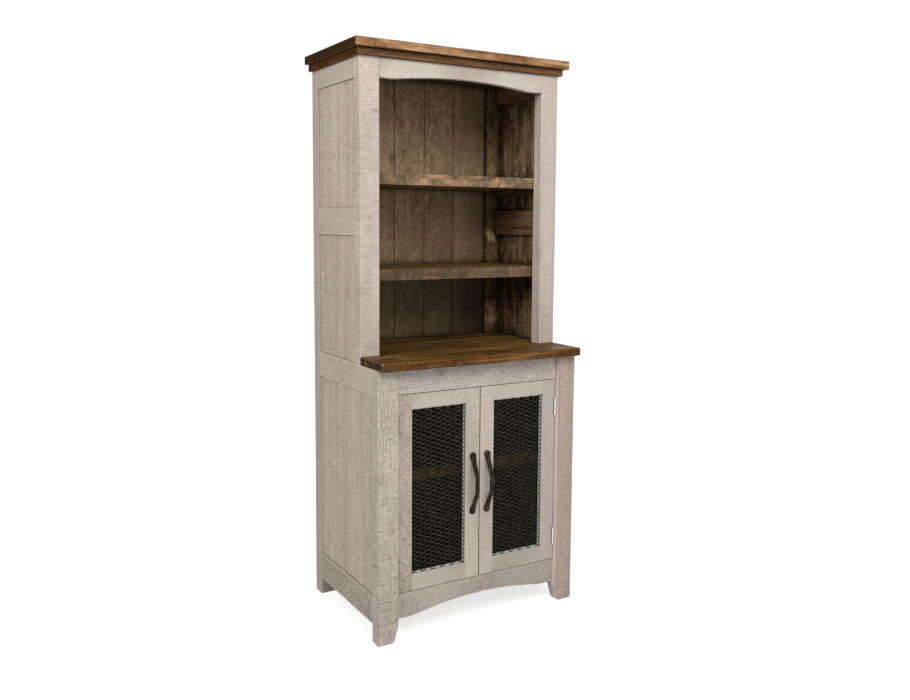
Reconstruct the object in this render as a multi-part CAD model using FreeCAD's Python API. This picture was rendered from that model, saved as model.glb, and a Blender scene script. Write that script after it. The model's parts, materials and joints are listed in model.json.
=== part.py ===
import FreeCAD, Part
import os
from math import asin, cos, sin

# Trastero cabinet: a two-door cupboard below, open shelves above, in one frame of pine.
# Four posts carry framed side panels. The rear posts run from the floor to the crown. The
# upper front posts stand further back, let through notches in the counter.
# Sizes are in millimetres. X runs across, left to right as seen from the front, Y runs from
# front to back, and Z up. The origin is on the floor under the middle of the outline.

Vector = FreeCAD.Vector

# Outline of the whole cabinet
overall_height = 1930.0
body_width = 775.0
base_depth = 528.0
counter_overhang = 36.0
hutch_setback = 130.0
counter_top_z = 923.0

# Posts and feet
base_post_width = 73.0
base_post_depth = 43.0
hutch_post_width = 69.5
hutch_post_depth = 40.5
rear_post_width = 73.0
rear_post_depth = 50.0
foot_taper_height = 55.0
foot_taper_inset = 16.0
foot_chamfer = 2.0
post_arris = 3.0

# Side frames: rails 38 mm thick, flush with the posts outside, and panels set in grooves
side_rail_thickness = 38.0
bottom_rail_bottom_z = 62.0
bottom_rail_height = 93.0
middle_rail_height = 84.0
upper_rail_height = 90.0
upper_rail_height_share = 0.456
top_rail_height = 64.5
panel_thickness = 11.0
panel_recess = 6.0
groove_depth = 9.0
panel_expansion_gap = 0.8
panel_board_width = 138.0
panel_first_board_width = 96.0
seam_width = 1.6
seam_depth = 0.7

# Joinery
tenon_length = 25.0
tenon_shoulder = 12.0
side_tenon_thickness = 12.0
front_tenon_thickness = 9.0
back_tenon_thickness = 8.0
joint_clearance = 0.1
end_clearance = 1.0

# Counter and crown boards
counter_thickness = 27.0
counter_corner_radius = 10.0
counter_edge_bevel = 2.5
counter_board_width = 140.0
crown_top_thickness = 27.5
crown_under_thickness = 23.0
crown_side_overhang = 27.0
crown_front_overhang = 32.0
crown_under_overhang = 13.0
crown_edge_bevel = 2.0

# Front rails between the posts
front_recess = 14.5
front_rail_thickness = 22.0
apron_height = 84.0
apron_rise = 26.0
apron_flat_end = 52.0
apron_blend_radius = 110.0
arch_rail_thickness = 25.0
arch_rail_height = 63.5
arch_rail_rise = 18.0
arch_rail_flat_end = 50.0
arch_rail_blend_radius = 140.0

# Shelves, cleats and bottom board
shelf_thickness = 38.0
upper_shelf_height_share = 0.604
lower_shelf_height_share = 0.272
base_shelf_height_share = 0.55
base_shelf_setback = 52.0
shelf_edge_radius = 2.0
shelf_clearance = 0.5
cleat_height = 15.0
bottom_board_thickness = 19.0

# Back: vertical boards behind the shelves, a thin sheet behind the cupboard
back_rail_thickness = 19.0
back_board_thickness = 14.0
back_board_width = 126.0
back_board_offset = 45.0
back_board_v = 3.0
board_tongue_length = 6.0
board_tongue_thickness = 4.5
back_board_overlap = 44.0
back_sheet_thickness = 6.0

# Doors
door_thickness = 22.5
door_side_gap = 2.0
door_end_gap = 2.0
door_meeting_gap = 3.0
door_stile_width = 54.0
door_top_rail_width = 50.0
door_bottom_rail_width = 54.0
door_tenon_length = 22.0
door_tenon_thickness = 7.0
door_edge_bevel = 1.5
glazing_lip = 8.0
glazing_rabbet = 8.0

# Expanded metal guard, glass and the strips that hold them
mesh_thickness = 1.5
mesh_strand_width = 2.6
mesh_steps_across = 6
mesh_rise_share = 0.4
mesh_bead_thickness = 7.0
glass_thickness = 3.0
pane_clearance = 0.6

# Butt hinges, with the pin fixed in the two outer knuckles
hinge_length = 62.0
hinge_bottom_inset = 56.0
hinge_top_inset = 65.0
knuckle_radius = 3.5
knuckle_count = 3
knuckle_gap = 0.3
pin_radius = 1.7
pin_clearance = 0.05
leaf_thickness = 1.5
leaf_depth = 21.0
leaf_clearance = 0.3

# Forged bow pulls
handle_length = 212.0
handle_projection = 36.0
handle_thickness = 6.5
handle_foot_thickness = 5.0
handle_foot_length = 15.0
handle_grip_length = 58.0
handle_foot_width = 22.0
handle_neck_width = 15.0
handle_grip_width = 13.5
handle_bend_radius = 16.0

# Magnetic catches under the front rail, and their plates on the doors
catch_width = 46.0
catch_depth = 14.0
catch_height = 34.0
catch_reach = 16.0
catch_centre_x = 60.0
catch_gap = 0.3
strike_thickness = 1.2
strike_height = 13.0

# Reach of a cutting solid past the face that it cuts, and the match for picking an edge
overrun = 5.0
hair = 0.01

# Places that follow from the sizes above
side_x = body_width / 2
front_y = (counter_overhang - base_depth) / 2
rear_y = front_y + base_depth
hutch_y = front_y + hutch_setback
body_top_z = overall_height - crown_top_thickness - crown_under_thickness
hutch_height = body_top_z - counter_top_z
counter_under_z = counter_top_z - counter_thickness
bottom_rail_top_z = bottom_rail_bottom_z + bottom_rail_height
middle_rail_bottom_z = counter_under_z - middle_rail_height
upper_rail_bottom_z = counter_top_z + upper_rail_height_share * hutch_height - upper_rail_height / 2
upper_rail_top_z = upper_rail_bottom_z + upper_rail_height
top_rail_bottom_z = body_top_z - top_rail_height
apron_end_z = bottom_rail_top_z - apron_height
arch_rail_end_z = body_top_z - arch_rail_height
upper_shelf_bottom_z = counter_top_z + upper_shelf_height_share * hutch_height - shelf_thickness / 2
lower_shelf_bottom_z = counter_top_z + lower_shelf_height_share * hutch_height - shelf_thickness / 2
cupboard_height = middle_rail_bottom_z - bottom_rail_top_z
base_shelf_bottom_z = bottom_rail_top_z + base_shelf_height_share * cupboard_height - shelf_thickness / 2
back_sheet_bottom_z = (bottom_rail_bottom_z + bottom_rail_top_z) / 2
base_post_inner_x = side_x - base_post_width
base_post_back_y = front_y + base_post_depth
hutch_post_inner_x = side_x - hutch_post_width
hutch_post_back_y = hutch_y + hutch_post_depth
rear_post_inner_x = side_x - rear_post_width
rear_post_front_y = rear_y - rear_post_depth
rail_inner_x = side_x - side_rail_thickness
panel_outer_x = side_x - panel_recess
panel_inner_x = panel_outer_x - panel_thickness
front_rail_y = front_y + front_recess
front_rail_back_y = front_rail_y + front_rail_thickness
back_rail_y = rear_y - back_rail_thickness
back_board_y = back_rail_y - back_board_thickness
back_sheet_y = back_rail_y - back_sheet_thickness
back_board_bottom_z = counter_under_z - back_board_overlap
door_outer_x = base_post_inner_x - door_side_gap
door_inner_x = door_meeting_gap / 2
door_bottom_z = bottom_rail_top_z + door_end_gap
door_top_z = middle_rail_bottom_z - door_end_gap
door_back_y = front_rail_y + door_thickness
pane_x0 = door_inner_x + door_stile_width
pane_x1 = door_outer_x - door_stile_width
pane_z0 = door_bottom_z + door_bottom_rail_width
pane_z1 = door_top_z - door_top_rail_width
pin_x = base_post_inner_x - knuckle_gap - knuckle_radius
pin_y = front_rail_y - knuckle_gap - knuckle_radius
handle_centre_x = door_inner_x + door_stile_width / 2
handle_bottom_z = (door_bottom_z + door_top_z - handle_length) / 2


def block(x0, x1, y0, y1, z0, z1):
    """A squared piece of timber between two corners."""
    return Part.makeBox(x1 - x0, y1 - y0, z1 - z0, Vector(x0, y0, z0))


def prism(points, travel):
    """A flat outline, given as corner points, pushed along a vector."""
    wire = Part.makePolygon(points + [points[0]])
    return Part.Face(wire).extrude(travel)


def mirrored(shape):
    """The same piece for the other side of the cabinet."""
    return shape.mirror(Vector(0, 0, 0), Vector(1, 0, 0))


def save(name, shape):
    """Write one piece, or one group of like pieces, under its own name."""
    shape.removeSplitter().exportStep("parts/" + name + ".step")


def save_pair(stem, right_piece):
    """Write a piece of the right side and its mirror image."""
    save(stem + "_right", right_piece)
    save(stem + "_left", mirrored(right_piece))


def rising_arrises(shape, y):
    """The edges of a post that climb along its face at a given Y."""
    picked = []
    for edge in shape.Edges:
        ends = [vertex.Point for vertex in edge.Vertexes]
        on_face = all(abs(point.y - y) < hair for point in ends)
        if on_face and abs(ends[0].z - ends[-1].z) > hair:
            picked.append(edge)
    return picked


def foot_edges(shape):
    """The edges round the underside of a foot."""
    return [e for e in shape.Edges if all(abs(v.Point.z) < hair for v in e.Vertexes)]


def side_tenon(y0, y1, z0, z1, spare):
    """Tenon of a side rail, or its mortise when spare is the clearance."""
    middle_x = (rail_inner_x + side_x) / 2
    half = side_tenon_thickness / 2 + spare
    low_z = z0 + tenon_shoulder - spare
    high_z = z1 - tenon_shoulder + spare
    return block(middle_x - half, middle_x + half, y0, y1, low_z, high_z)


def side_mortise(y_face, direction, z0, z1):
    """The pocket in a post for a side rail, entered at y_face."""
    depth_y = y_face + direction * (tenon_length + end_clearance)
    low_y, high_y = sorted((depth_y, y_face))
    return side_tenon(low_y, high_y, z0, z1, joint_clearance)


def panel_groove(y0, y1, z0, z1):
    """The groove that takes the edge of a side panel."""
    return block(panel_inner_x - joint_clearance, panel_outer_x + joint_clearance, y0, y1, z0, z1)


side_rails = {
    "side_bottom_rail": (bottom_rail_bottom_z, bottom_rail_top_z, base_post_back_y),
    "side_middle_rail": (middle_rail_bottom_z, counter_under_z, base_post_back_y),
    "side_upper_rail": (upper_rail_bottom_z, upper_rail_top_z, hutch_post_back_y),
    "side_top_rail": (top_rail_bottom_z, body_top_z, hutch_post_back_y),
}
side_panels = {
    "base_side_panel": (bottom_rail_top_z, middle_rail_bottom_z, base_post_back_y),
    "hutch_lower_panel": (counter_under_z, upper_rail_bottom_z, hutch_post_back_y),
    "hutch_upper_panel": (upper_rail_top_z, top_rail_bottom_z, hutch_post_back_y),
}


def front_tenon(x0, x1, y0, thickness, tenon, z0, z1, spare):
    """Tenon of a rail that runs across, or its mortise when spare is the clearance."""
    middle_y = y0 + thickness / 2
    half = tenon / 2 + spare
    low_z = z0 + tenon_shoulder - spare
    high_z = z1 - tenon_shoulder + spare
    return block(x0, x1, middle_y - half, middle_y + half, low_z, high_z)


def cross_mortise(inner_x, y0, thickness, tenon, z0, z1):
    """The pocket in the inner side of a post for a rail that runs across."""
    deep_x = inner_x + tenon_length + end_clearance
    return front_tenon(inner_x, deep_x, y0, thickness, tenon, z0, z1, joint_clearance)


def cross_rail(half_length, y0, thickness, tenon, z0, z1):
    """A straight rail that runs across, with a tenon at each end."""
    rail = block(-half_length, half_length, y0, y0 + thickness, z0, z1)
    reach = half_length + tenon_length
    return rail.fuse(front_tenon(-reach, reach, y0, thickness, tenon, z0, z1, 0))


def tapered_post(inner_x, y0, y1, top_z):
    """A post whose foot narrows towards the floor on its inner side."""
    outline = [
        Vector(side_x, y0, 0),
        Vector(side_x, y0, top_z),
        Vector(inner_x, y0, top_z),
        Vector(inner_x, y0, foot_taper_height),
        Vector(inner_x + foot_taper_inset, y0, 0),
    ]
    return prism(outline, Vector(0, y1 - y0, 0))


def cut_for_side(post, face_y, direction, rail_names, panel_names):
    """A post with the mortises and grooves that its side frame needs."""
    low_y, high_y = sorted((face_y, face_y + direction * groove_depth))
    for name in rail_names:
        low_z, high_z, _ = side_rails[name]
        post = post.cut(side_mortise(face_y, direction, low_z, high_z))
    for name in panel_names:
        low_z, high_z, _ = side_panels[name]
        post = post.cut(panel_groove(low_y, high_y, low_z - groove_depth, high_z + groove_depth))
    return post


def base_front_post():
    post = tapered_post(base_post_inner_x, front_y, base_post_back_y, counter_under_z)
    post = post.makeFillet(post_arris, rising_arrises(post, front_y))
    post = post.makeChamfer(foot_chamfer, foot_edges(post))
    rails = ("side_bottom_rail", "side_middle_rail")
    post = cut_for_side(post, base_post_back_y, -1, rails, ("base_side_panel",))
    apron = (front_rail_y, front_rail_thickness, front_tenon_thickness, apron_end_z, bottom_rail_top_z)
    rail = (front_rail_y, front_rail_thickness, front_tenon_thickness, middle_rail_bottom_z, counter_under_z)
    for sizes in (apron, rail):
        post = post.cut(cross_mortise(base_post_inner_x, *sizes))
    return post


def rear_post():
    post = tapered_post(rear_post_inner_x, rear_post_front_y, rear_y, body_top_z)
    post = post.makeFillet(post_arris, rising_arrises(post, rear_y))
    post = post.makeChamfer(foot_chamfer, foot_edges(post))
    post = cut_for_side(post, rear_post_front_y, 1, side_rails, side_panels)
    for low_z, high_z in back_rail_levels.values():
        sizes = (back_rail_y, back_rail_thickness, back_tenon_thickness, low_z, high_z)
        post = post.cut(cross_mortise(rear_post_inner_x, *sizes))
    return post


def hutch_front_post():
    """The outer half stands on the middle rail and the inner half laps down inside it."""
    span = (hutch_y, hutch_post_back_y)
    outer = block(rail_inner_x, side_x, *span, counter_under_z, body_top_z)
    inner = block(hutch_post_inner_x, rail_inner_x, *span, middle_rail_bottom_z, body_top_z)
    post = outer.fuse(inner).removeSplitter()
    corners = (side_x, hutch_post_inner_x)
    arrises = []
    for edge in rising_arrises(post, hutch_y):
        if min(abs(edge.BoundBox.XMin - x) for x in corners) < hair:
            arrises.append(edge)
    post = post.makeFillet(post_arris, arrises)
    rails = ("side_upper_rail", "side_top_rail")
    post = cut_for_side(post, hutch_post_back_y, -1, rails, ("hutch_lower_panel", "hutch_upper_panel"))
    sizes = (hutch_y, arch_rail_thickness, front_tenon_thickness, arch_rail_end_z, body_top_z)
    return post.cut(cross_mortise(hutch_post_inner_x, *sizes))


def side_rail(name):
    """A rail between a front post and the rear post, grooved for the panels beside it."""
    low_z, high_z, face_y = side_rails[name]
    rail = block(rail_inner_x, side_x, face_y, rear_post_front_y, low_z, high_z)
    rail = rail.fuse(side_tenon(face_y - tenon_length, rear_post_front_y + tenon_length, low_z, high_z, 0))
    for panel_low_z, panel_high_z, panel_y in side_panels.values():
        start_y = panel_y - groove_depth
        if panel_low_z == high_z:
            rail = rail.cut(panel_groove(start_y, rear_post_front_y, high_z - groove_depth, high_z))
        if panel_high_z == low_z:
            rail = rail.cut(panel_groove(start_y, rear_post_front_y, low_z, low_z + groove_depth))
    return rail


def side_panel(name):
    """A panel of edge-glued boards, free to move in its grooves and standing in the lower one."""
    low_z, high_z, face_y = side_panels[name]
    reach = groove_depth - panel_expansion_gap
    y0 = face_y - reach
    y1 = rear_post_front_y + reach
    z0 = low_z - groove_depth
    z1 = high_z + reach
    panel = block(panel_inner_x, panel_outer_x, y0, y1, z0, z1)
    seam_y = base_post_back_y - groove_depth + panel_first_board_width
    while seam_y < rear_post_front_y - seam_width:
        if seam_y > face_y + seam_width:
            for face_x, inward in ((panel_outer_x, -seam_depth), (panel_inner_x, seam_depth)):
                notch = [
                    Vector(face_x, seam_y - seam_width / 2, z0),
                    Vector(face_x + inward, seam_y, z0),
                    Vector(face_x, seam_y + seam_width / 2, z0),
                ]
                panel = panel.cut(prism(notch, Vector(0, 0, z1 - z0)))
        seam_y += panel_board_width
    return panel


def arch_edges(half_chord, low_z, rise, blend_radius, y):
    """The lower line of an arched rail: a blend, the main arc and a blend, all tangent."""
    reach = (half_chord ** 2 + rise ** 2) / (2 * rise)
    main_radius = reach - blend_radius
    centre_z = low_z + rise - main_radius
    slope = asin(half_chord / reach)
    tangent = Vector(main_radius * sin(slope), y, centre_z + main_radius * cos(slope))
    blend_z = low_z + blend_radius
    middle_x = half_chord - blend_radius * sin(slope / 2)
    middle = Vector(middle_x, y, blend_z - blend_radius * cos(slope / 2))
    start = Vector(half_chord, y, low_z)
    other = [Vector(-point.x, point.y, point.z) for point in (tangent, middle, start)]
    crown = Vector(0, y, low_z + rise)
    return [
        Part.Arc(start, middle, tangent).toShape(),
        Part.Arc(tangent, crown, other[0]).toShape(),
        Part.Arc(other[0], other[1], other[2]).toShape(),
    ]


def arched_rail(half_length, y0, thickness, top_z, low_z, rise, flat_end, blend_radius):
    """A rail that runs across, sawn to a shallow arch below, with a tenon at each end."""
    half_chord = half_length - flat_end
    corners = [
        Vector(-half_chord, y0, low_z),
        Vector(-half_length, y0, low_z),
        Vector(-half_length, y0, top_z),
        Vector(half_length, y0, top_z),
        Vector(half_length, y0, low_z),
        Vector(half_chord, y0, low_z),
    ]
    edges = arch_edges(half_chord, low_z, rise, blend_radius, y0)
    edges += [Part.LineSegment(a, b).toShape() for a, b in zip(corners, corners[1:])]
    wire = Part.Wire(Part.__sortEdges__(edges))
    rail = Part.Face(wire).extrude(Vector(0, thickness, 0))
    for end in (-1, 1):
        near_x, far_x = sorted((end * half_length, end * (half_length + tenon_length)))
        tenon = front_tenon(near_x, far_x, y0, thickness, front_tenon_thickness, low_z, top_z, 0)
        rail = rail.fuse(tenon)
    return rail


def apron_rail():
    sizes = (bottom_rail_top_z, apron_end_z, apron_rise, apron_flat_end, apron_blend_radius)
    return arched_rail(base_post_inner_x, front_rail_y, front_rail_thickness, *sizes)


def hutch_arch_rail():
    sizes = (body_top_z, arch_rail_end_z, arch_rail_rise, arch_rail_flat_end, arch_rail_blend_radius)
    return arched_rail(hutch_post_inner_x, hutch_y, arch_rail_thickness, *sizes)


def base_top_rail():
    sizes = (front_rail_y, front_rail_thickness, front_tenon_thickness)
    return cross_rail(base_post_inner_x, *sizes, middle_rail_bottom_z, counter_under_z)


back_rail_levels = {
    "back_bottom_rail": (bottom_rail_bottom_z, bottom_rail_top_z),
    "back_middle_rail": (middle_rail_bottom_z, counter_under_z),
    "back_top_rail": (top_rail_bottom_z, body_top_z),
}


def back_rail(name):
    low_z, high_z = back_rail_levels[name]
    sizes = (back_rail_y, back_rail_thickness, back_tenon_thickness)
    return cross_rail(rear_post_inner_x, *sizes, low_z, high_z)


def seams_along(board, top_z, x_reach, first_y, last_y):
    """Fine V lines where the boards of a glued top meet."""
    seam_y = first_y + counter_board_width
    while seam_y < last_y - seam_width:
        notch = [
            Vector(-x_reach, seam_y - seam_width / 2, top_z),
            Vector(-x_reach, seam_y, top_z - seam_depth),
            Vector(-x_reach, seam_y + seam_width / 2, top_z),
        ]
        board = board.cut(prism(notch, Vector(2 * x_reach, 0, 0)))
        seam_y += counter_board_width
    return board


def counter_top():
    """The board steps round the upper posts, and behind them it lies between the side panels."""
    edge_y = front_y - counter_overhang
    front = block(-side_x, side_x, edge_y, hutch_y - joint_clearance, counter_under_z, counter_top_z)
    front = front.makeFillet(counter_corner_radius, rising_arrises(front, edge_y))
    rim = [e for e in front.Edges if e.BoundBox.YMax < edge_y + hair and e.BoundBox.ZLength < hair]
    front = front.makeChamfer(counter_edge_bevel, rim)
    neck_x = hutch_post_inner_x - joint_clearance
    neck = block(-neck_x, neck_x, hutch_y - overrun, hutch_post_back_y, counter_under_z, counter_top_z)
    inner_x = panel_inner_x - shelf_clearance
    middle_span = (hutch_post_back_y + joint_clearance, rear_post_front_y - joint_clearance)
    middle = block(-inner_x, inner_x, *middle_span, counter_under_z, counter_top_z)
    tail_x = rear_post_inner_x - joint_clearance
    tail = block(-tail_x, tail_x, hutch_y, back_board_y - joint_clearance, counter_under_z, counter_top_z)
    board = front.fuse([neck, middle, tail]).removeSplitter()
    return seams_along(board, counter_top_z, side_x, edge_y, back_board_y)


def crown_board(side_overhang, front_overhang, z0, z1):
    """A crown board, eased along its front and ends and flush with the posts at the back."""
    half = side_x + side_overhang
    board = block(-half, half, hutch_y - front_overhang, rear_y, z0, z1)
    flat = [e for e in board.Edges if e.BoundBox.ZLength < hair and e.BoundBox.YMin < rear_y - hair]
    upright = rising_arrises(board, hutch_y - front_overhang)
    return board.makeChamfer(crown_edge_bevel, flat + upright)


def crown_under_board():
    z1 = body_top_z + crown_under_thickness
    return crown_board(crown_under_overhang, crown_under_overhang, body_top_z, z1)


def crown_top_board():
    z0 = body_top_z + crown_under_thickness
    board = crown_board(crown_side_overhang, crown_front_overhang, z0, overall_height)
    reach = side_x + crown_side_overhang
    return seams_along(board, overall_height, reach, hutch_y, rear_y)


def shelf(z0, front, back):
    """A thick shelf, notched at the back round the rear posts."""
    half = panel_inner_x - shelf_clearance
    board = block(-half, half, front, back, z0, z0 + shelf_thickness)
    edges = [e for e in board.Edges if e.BoundBox.YMax < front + hair and e.BoundBox.ZLength < hair]
    board = board.makeFillet(shelf_edge_radius, edges)
    notch_x = rear_post_inner_x - shelf_clearance
    notch_y = rear_post_front_y - shelf_clearance
    for x0, x1 in ((notch_x, half + overrun), (-half - overrun, -notch_x)):
        notch = block(x0, x1, notch_y, back + overrun, z0 - overrun, z0 + shelf_thickness + overrun)
        board = board.cut(notch)
    return board


def base_shelf():
    front = base_post_back_y + base_shelf_setback
    return shelf(base_shelf_bottom_z, front, back_sheet_y - shelf_clearance)


def cleat(z_top, face_y):
    """A strip between a front and a rear post, inside the panel, under the end of a board."""
    return block(rail_inner_x, panel_inner_x, face_y, rear_post_front_y, z_top - cleat_height, z_top)


def shelf_cleats():
    strips = [
        cleat(upper_shelf_bottom_z, hutch_post_back_y),
        cleat(lower_shelf_bottom_z, hutch_post_back_y),
        cleat(base_shelf_bottom_z, base_post_back_y),
    ]
    ledge_z = bottom_rail_top_z - bottom_board_thickness
    ledge_x = rail_inner_x - (panel_inner_x - rail_inner_x)
    ledge_span = (base_post_back_y, rear_post_front_y)
    strips.append(block(ledge_x, rail_inner_x, *ledge_span, ledge_z - cleat_height, ledge_z))
    return Part.Compound(strips + [mirrored(strip) for strip in strips])


def base_bottom_board():
    """The cupboard floor, notched at its corners round the four posts."""
    z0 = bottom_rail_top_z - bottom_board_thickness
    half = rail_inner_x - shelf_clearance
    back = back_sheet_y - shelf_clearance
    board = block(-half, half, front_rail_back_y, back, z0, bottom_rail_top_z)
    notch_x = base_post_inner_x - shelf_clearance
    spans = ((front_rail_back_y - overrun, base_post_back_y + shelf_clearance),
             (rear_post_front_y - shelf_clearance, back + overrun))
    for y0, y1 in spans:
        for x0, x1 in ((notch_x, half + overrun), (-half - overrun, -notch_x)):
            board = board.cut(block(x0, x1, y0, y1, z0 - overrun, bottom_rail_top_z + overrun))
    return board


def back_board(x0, x1, tongued, grooved):
    """One vertical board: V edges on its face, a tongue on one side, a groove in the other."""
    face = back_board_y
    back = back_board_y + back_board_thickness
    middle = (face + back_board_v + back) / 2
    half = board_tongue_thickness / 2
    tip = board_tongue_length
    left_side = [Vector(x0, back, 0), Vector(x0, face + back_board_v, 0), Vector(x0 + back_board_v, face, 0)]
    if grooved:
        pocket = tip + joint_clearance
        left_side[1:1] = [
            Vector(x0, middle + half + joint_clearance, 0),
            Vector(x0 + pocket, middle + half + joint_clearance, 0),
            Vector(x0 + pocket, middle - half - joint_clearance, 0),
            Vector(x0, middle - half - joint_clearance, 0),
        ]
    right_side = [Vector(x1 - back_board_v, face, 0), Vector(x1, face + back_board_v, 0), Vector(x1, back, 0)]
    if tongued:
        right_side[2:2] = [
            Vector(x1, middle - half, 0),
            Vector(x1 + tip, middle - half, 0),
            Vector(x1 + tip, middle + half, 0),
            Vector(x1, middle + half, 0),
        ]
    board = prism(left_side + right_side, Vector(0, 0, body_top_z - back_board_bottom_z))
    board.translate(Vector(0, 0, back_board_bottom_z))
    return board


def back_board_lines():
    """Where the vertical boards meet, with whatever is left over in the outer two."""
    limit = rear_post_inner_x - joint_clearance
    lines = [back_board_offset]
    while lines[0] - back_board_width > -limit + back_board_width / 2:
        lines.insert(0, lines[0] - back_board_width)
    while lines[-1] + back_board_width < limit - back_board_width / 2:
        lines.append(lines[-1] + back_board_width)
    return [-limit] + lines + [limit]


def hutch_back_boards():
    lines = back_board_lines()
    boards = []
    for number, (x0, x1) in enumerate(zip(lines, lines[1:])):
        tongued = number < len(lines) - 2
        edge_x = x1 - joint_clearance if tongued else x1
        boards.append(back_board(x0, edge_x, tongued, number > 0))
    return Part.Compound(boards)


def base_back_sheet():
    half = rear_post_inner_x - joint_clearance
    top_z = back_board_bottom_z - joint_clearance
    return block(-half, half, back_sheet_y, back_rail_y, back_sheet_bottom_z, top_z)


def door_opening_cuts():
    """The rabbet behind the opening, and the fine bevel round its front edge."""
    rabbet = block(pane_x0 - glazing_rabbet, pane_x1 + glazing_rabbet, front_rail_y + glazing_lip,
                   door_back_y + overrun, pane_z0 - glazing_rabbet, pane_z1 + glazing_rabbet)
    slope = ((front_rail_y - overrun, door_edge_bevel + overrun), (front_rail_y + door_edge_bevel, 0))
    rings = []
    for y, spread in slope:
        corners = [
            Vector(pane_x0 - spread, y, pane_z0 - spread),
            Vector(pane_x1 + spread, y, pane_z0 - spread),
            Vector(pane_x1 + spread, y, pane_z1 + spread),
            Vector(pane_x0 - spread, y, pane_z1 + spread),
        ]
        rings.append(Part.makePolygon(corners + [corners[0]]))
    return [rabbet, Part.makeLoft(rings, True, True)]


def door_tenon(x0, x1, z0, z1, spare):
    """Tenon of a door rail, or its mortise when spare is the clearance."""
    middle_y = front_rail_y + door_thickness / 2
    half = door_tenon_thickness / 2 + spare
    low_z = z0 + tenon_shoulder - spare
    high_z = z1 - tenon_shoulder + spare
    return block(x0, x1, middle_y - half, middle_y + half, low_z, high_z)


door_rail_levels = {
    "top_rail": (door_top_z - door_top_rail_width, door_top_z),
    "bottom_rail": (door_bottom_z, door_bottom_z + door_bottom_rail_width),
}


def door_stile(x0, x1, inner_face_x, direction, edge_x):
    """An upright of a door, mortised for both rails and eased along its outer edge."""
    stile = block(x0, x1, front_rail_y, door_back_y, door_bottom_z, door_top_z)
    eased = [e for e in rising_arrises(stile, front_rail_y) if abs(e.Vertexes[0].Point.x - edge_x) < hair]
    stile = stile.makeChamfer(door_edge_bevel, eased)
    deep_x = inner_face_x + direction * (door_tenon_length + end_clearance)
    near_x, far_x = sorted((inner_face_x, deep_x))
    for low_z, high_z in door_rail_levels.values():
        stile = stile.cut(door_tenon(near_x, far_x, low_z, high_z, joint_clearance))
    return stile.cut(door_opening_cuts())


def hinge_levels():
    """The foot of each hinge on the door."""
    return (door_bottom_z + hinge_bottom_inset, door_top_z - hinge_top_inset - hinge_length)


def door_hinge_stile():
    """The outer stile, let in along its edge for the door leaves."""
    stile = door_stile(pane_x1, door_outer_x, pane_x1, 1, door_outer_x)
    leaf_x = base_post_inner_x - 2 * leaf_thickness - leaf_clearance
    for z in hinge_levels():
        low_z = z - joint_clearance
        high_z = z + hinge_length + joint_clearance
        back = pin_y + leaf_depth + joint_clearance
        stile = stile.cut(block(leaf_x, door_outer_x + overrun, front_rail_y - overrun, back, low_z, high_z))
    return stile


def door_meeting_stile():
    return door_stile(door_inner_x, pane_x0, pane_x0, -1, door_inner_x)


def door_rail(name):
    low_z, high_z = door_rail_levels[name]
    rail = block(pane_x0, pane_x1, front_rail_y, door_back_y, low_z, high_z)
    rail = rail.fuse(door_tenon(pane_x0 - door_tenon_length, pane_x1 + door_tenon_length, low_z, high_z, 0))
    return rail.cut(door_opening_cuts())


def pane_rectangle(inset):
    """Left, right, low and high limits of a sheet that sits in the rabbet."""
    spread = glazing_rabbet - inset
    return pane_x0 - spread, pane_x1 + spread, pane_z0 - spread, pane_z1 + spread


def diamond(centre, reaches):
    """One opening of the mesh. A side that the rim closes has no reach there."""
    ways = (Vector(1, 0, 0), Vector(0, 0, 1), Vector(-1, 0, 0), Vector(0, 0, -1))
    points = [centre + way * reach for way, reach in zip(ways, reaches) if reach > 0]
    if len(points) == 2:
        points.append(centre)
    return Part.makePolygon(points + [points[0]])


def mesh_openings(y):
    """Rows of diamonds over the whole opening, each row half a step aside."""
    step_x = (pane_x1 - pane_x0) / mesh_steps_across
    rows = round((pane_z1 - pane_z0) / (step_x * mesh_rise_share))
    step_z = (pane_z1 - pane_z0) / rows
    slope_length = (step_x ** 2 + step_z ** 2) ** 0.5
    open_share = 1 - mesh_strand_width / 2 * slope_length / (step_x * step_z)
    reach_x = step_x * open_share
    reach_z = step_z * open_share
    wires = []
    for column in range(mesh_steps_across + 1):
        for row in range(rows + 1):
            if (column + row) % 2 == 0:
                right = reach_x if column < mesh_steps_across else 0
                left = reach_x if column > 0 else 0
                up = reach_z if row < rows else 0
                down = reach_z if row > 0 else 0
                centre = Vector(pane_x0 + column * step_x, y, pane_z0 + row * step_z)
                wires.append(diamond(centre, (right, up, left, down)))
    return wires


def mesh_guard():
    """Expanded metal in one sheet, with a plain rim that the rabbet hides."""
    y = front_rail_y + glazing_lip
    x0, x1, z0, z1 = pane_rectangle(pane_clearance)
    rim = [Vector(x0, y, z0), Vector(x1, y, z0), Vector(x1, y, z1), Vector(x0, y, z1)]
    outline = Part.makePolygon(rim + [rim[0]])
    sheet = Part.Face([outline] + mesh_openings(y))
    return sheet.extrude(Vector(0, mesh_thickness, 0))


def door_glass():
    x0, x1, z0, z1 = pane_rectangle(pane_clearance)
    y0 = front_rail_y + glazing_lip + mesh_thickness + mesh_bead_thickness
    return block(x0, x1, y0, y0 + glass_thickness, z0, z1)


def bead_frame(y0, y1):
    """Four strips butted round the rabbet, the uprights running through."""
    x0, x1, z0, z1 = pane_rectangle(pane_clearance)
    return [
        block(x0, pane_x0 - joint_clearance, y0, y1, z0, z1),
        block(pane_x1 + joint_clearance, x1, y0, y1, z0, z1),
        block(pane_x0, pane_x1, y0, y1, z0, pane_z0),
        block(pane_x0, pane_x1, y0, y1, pane_z1, z1),
    ]


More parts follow.
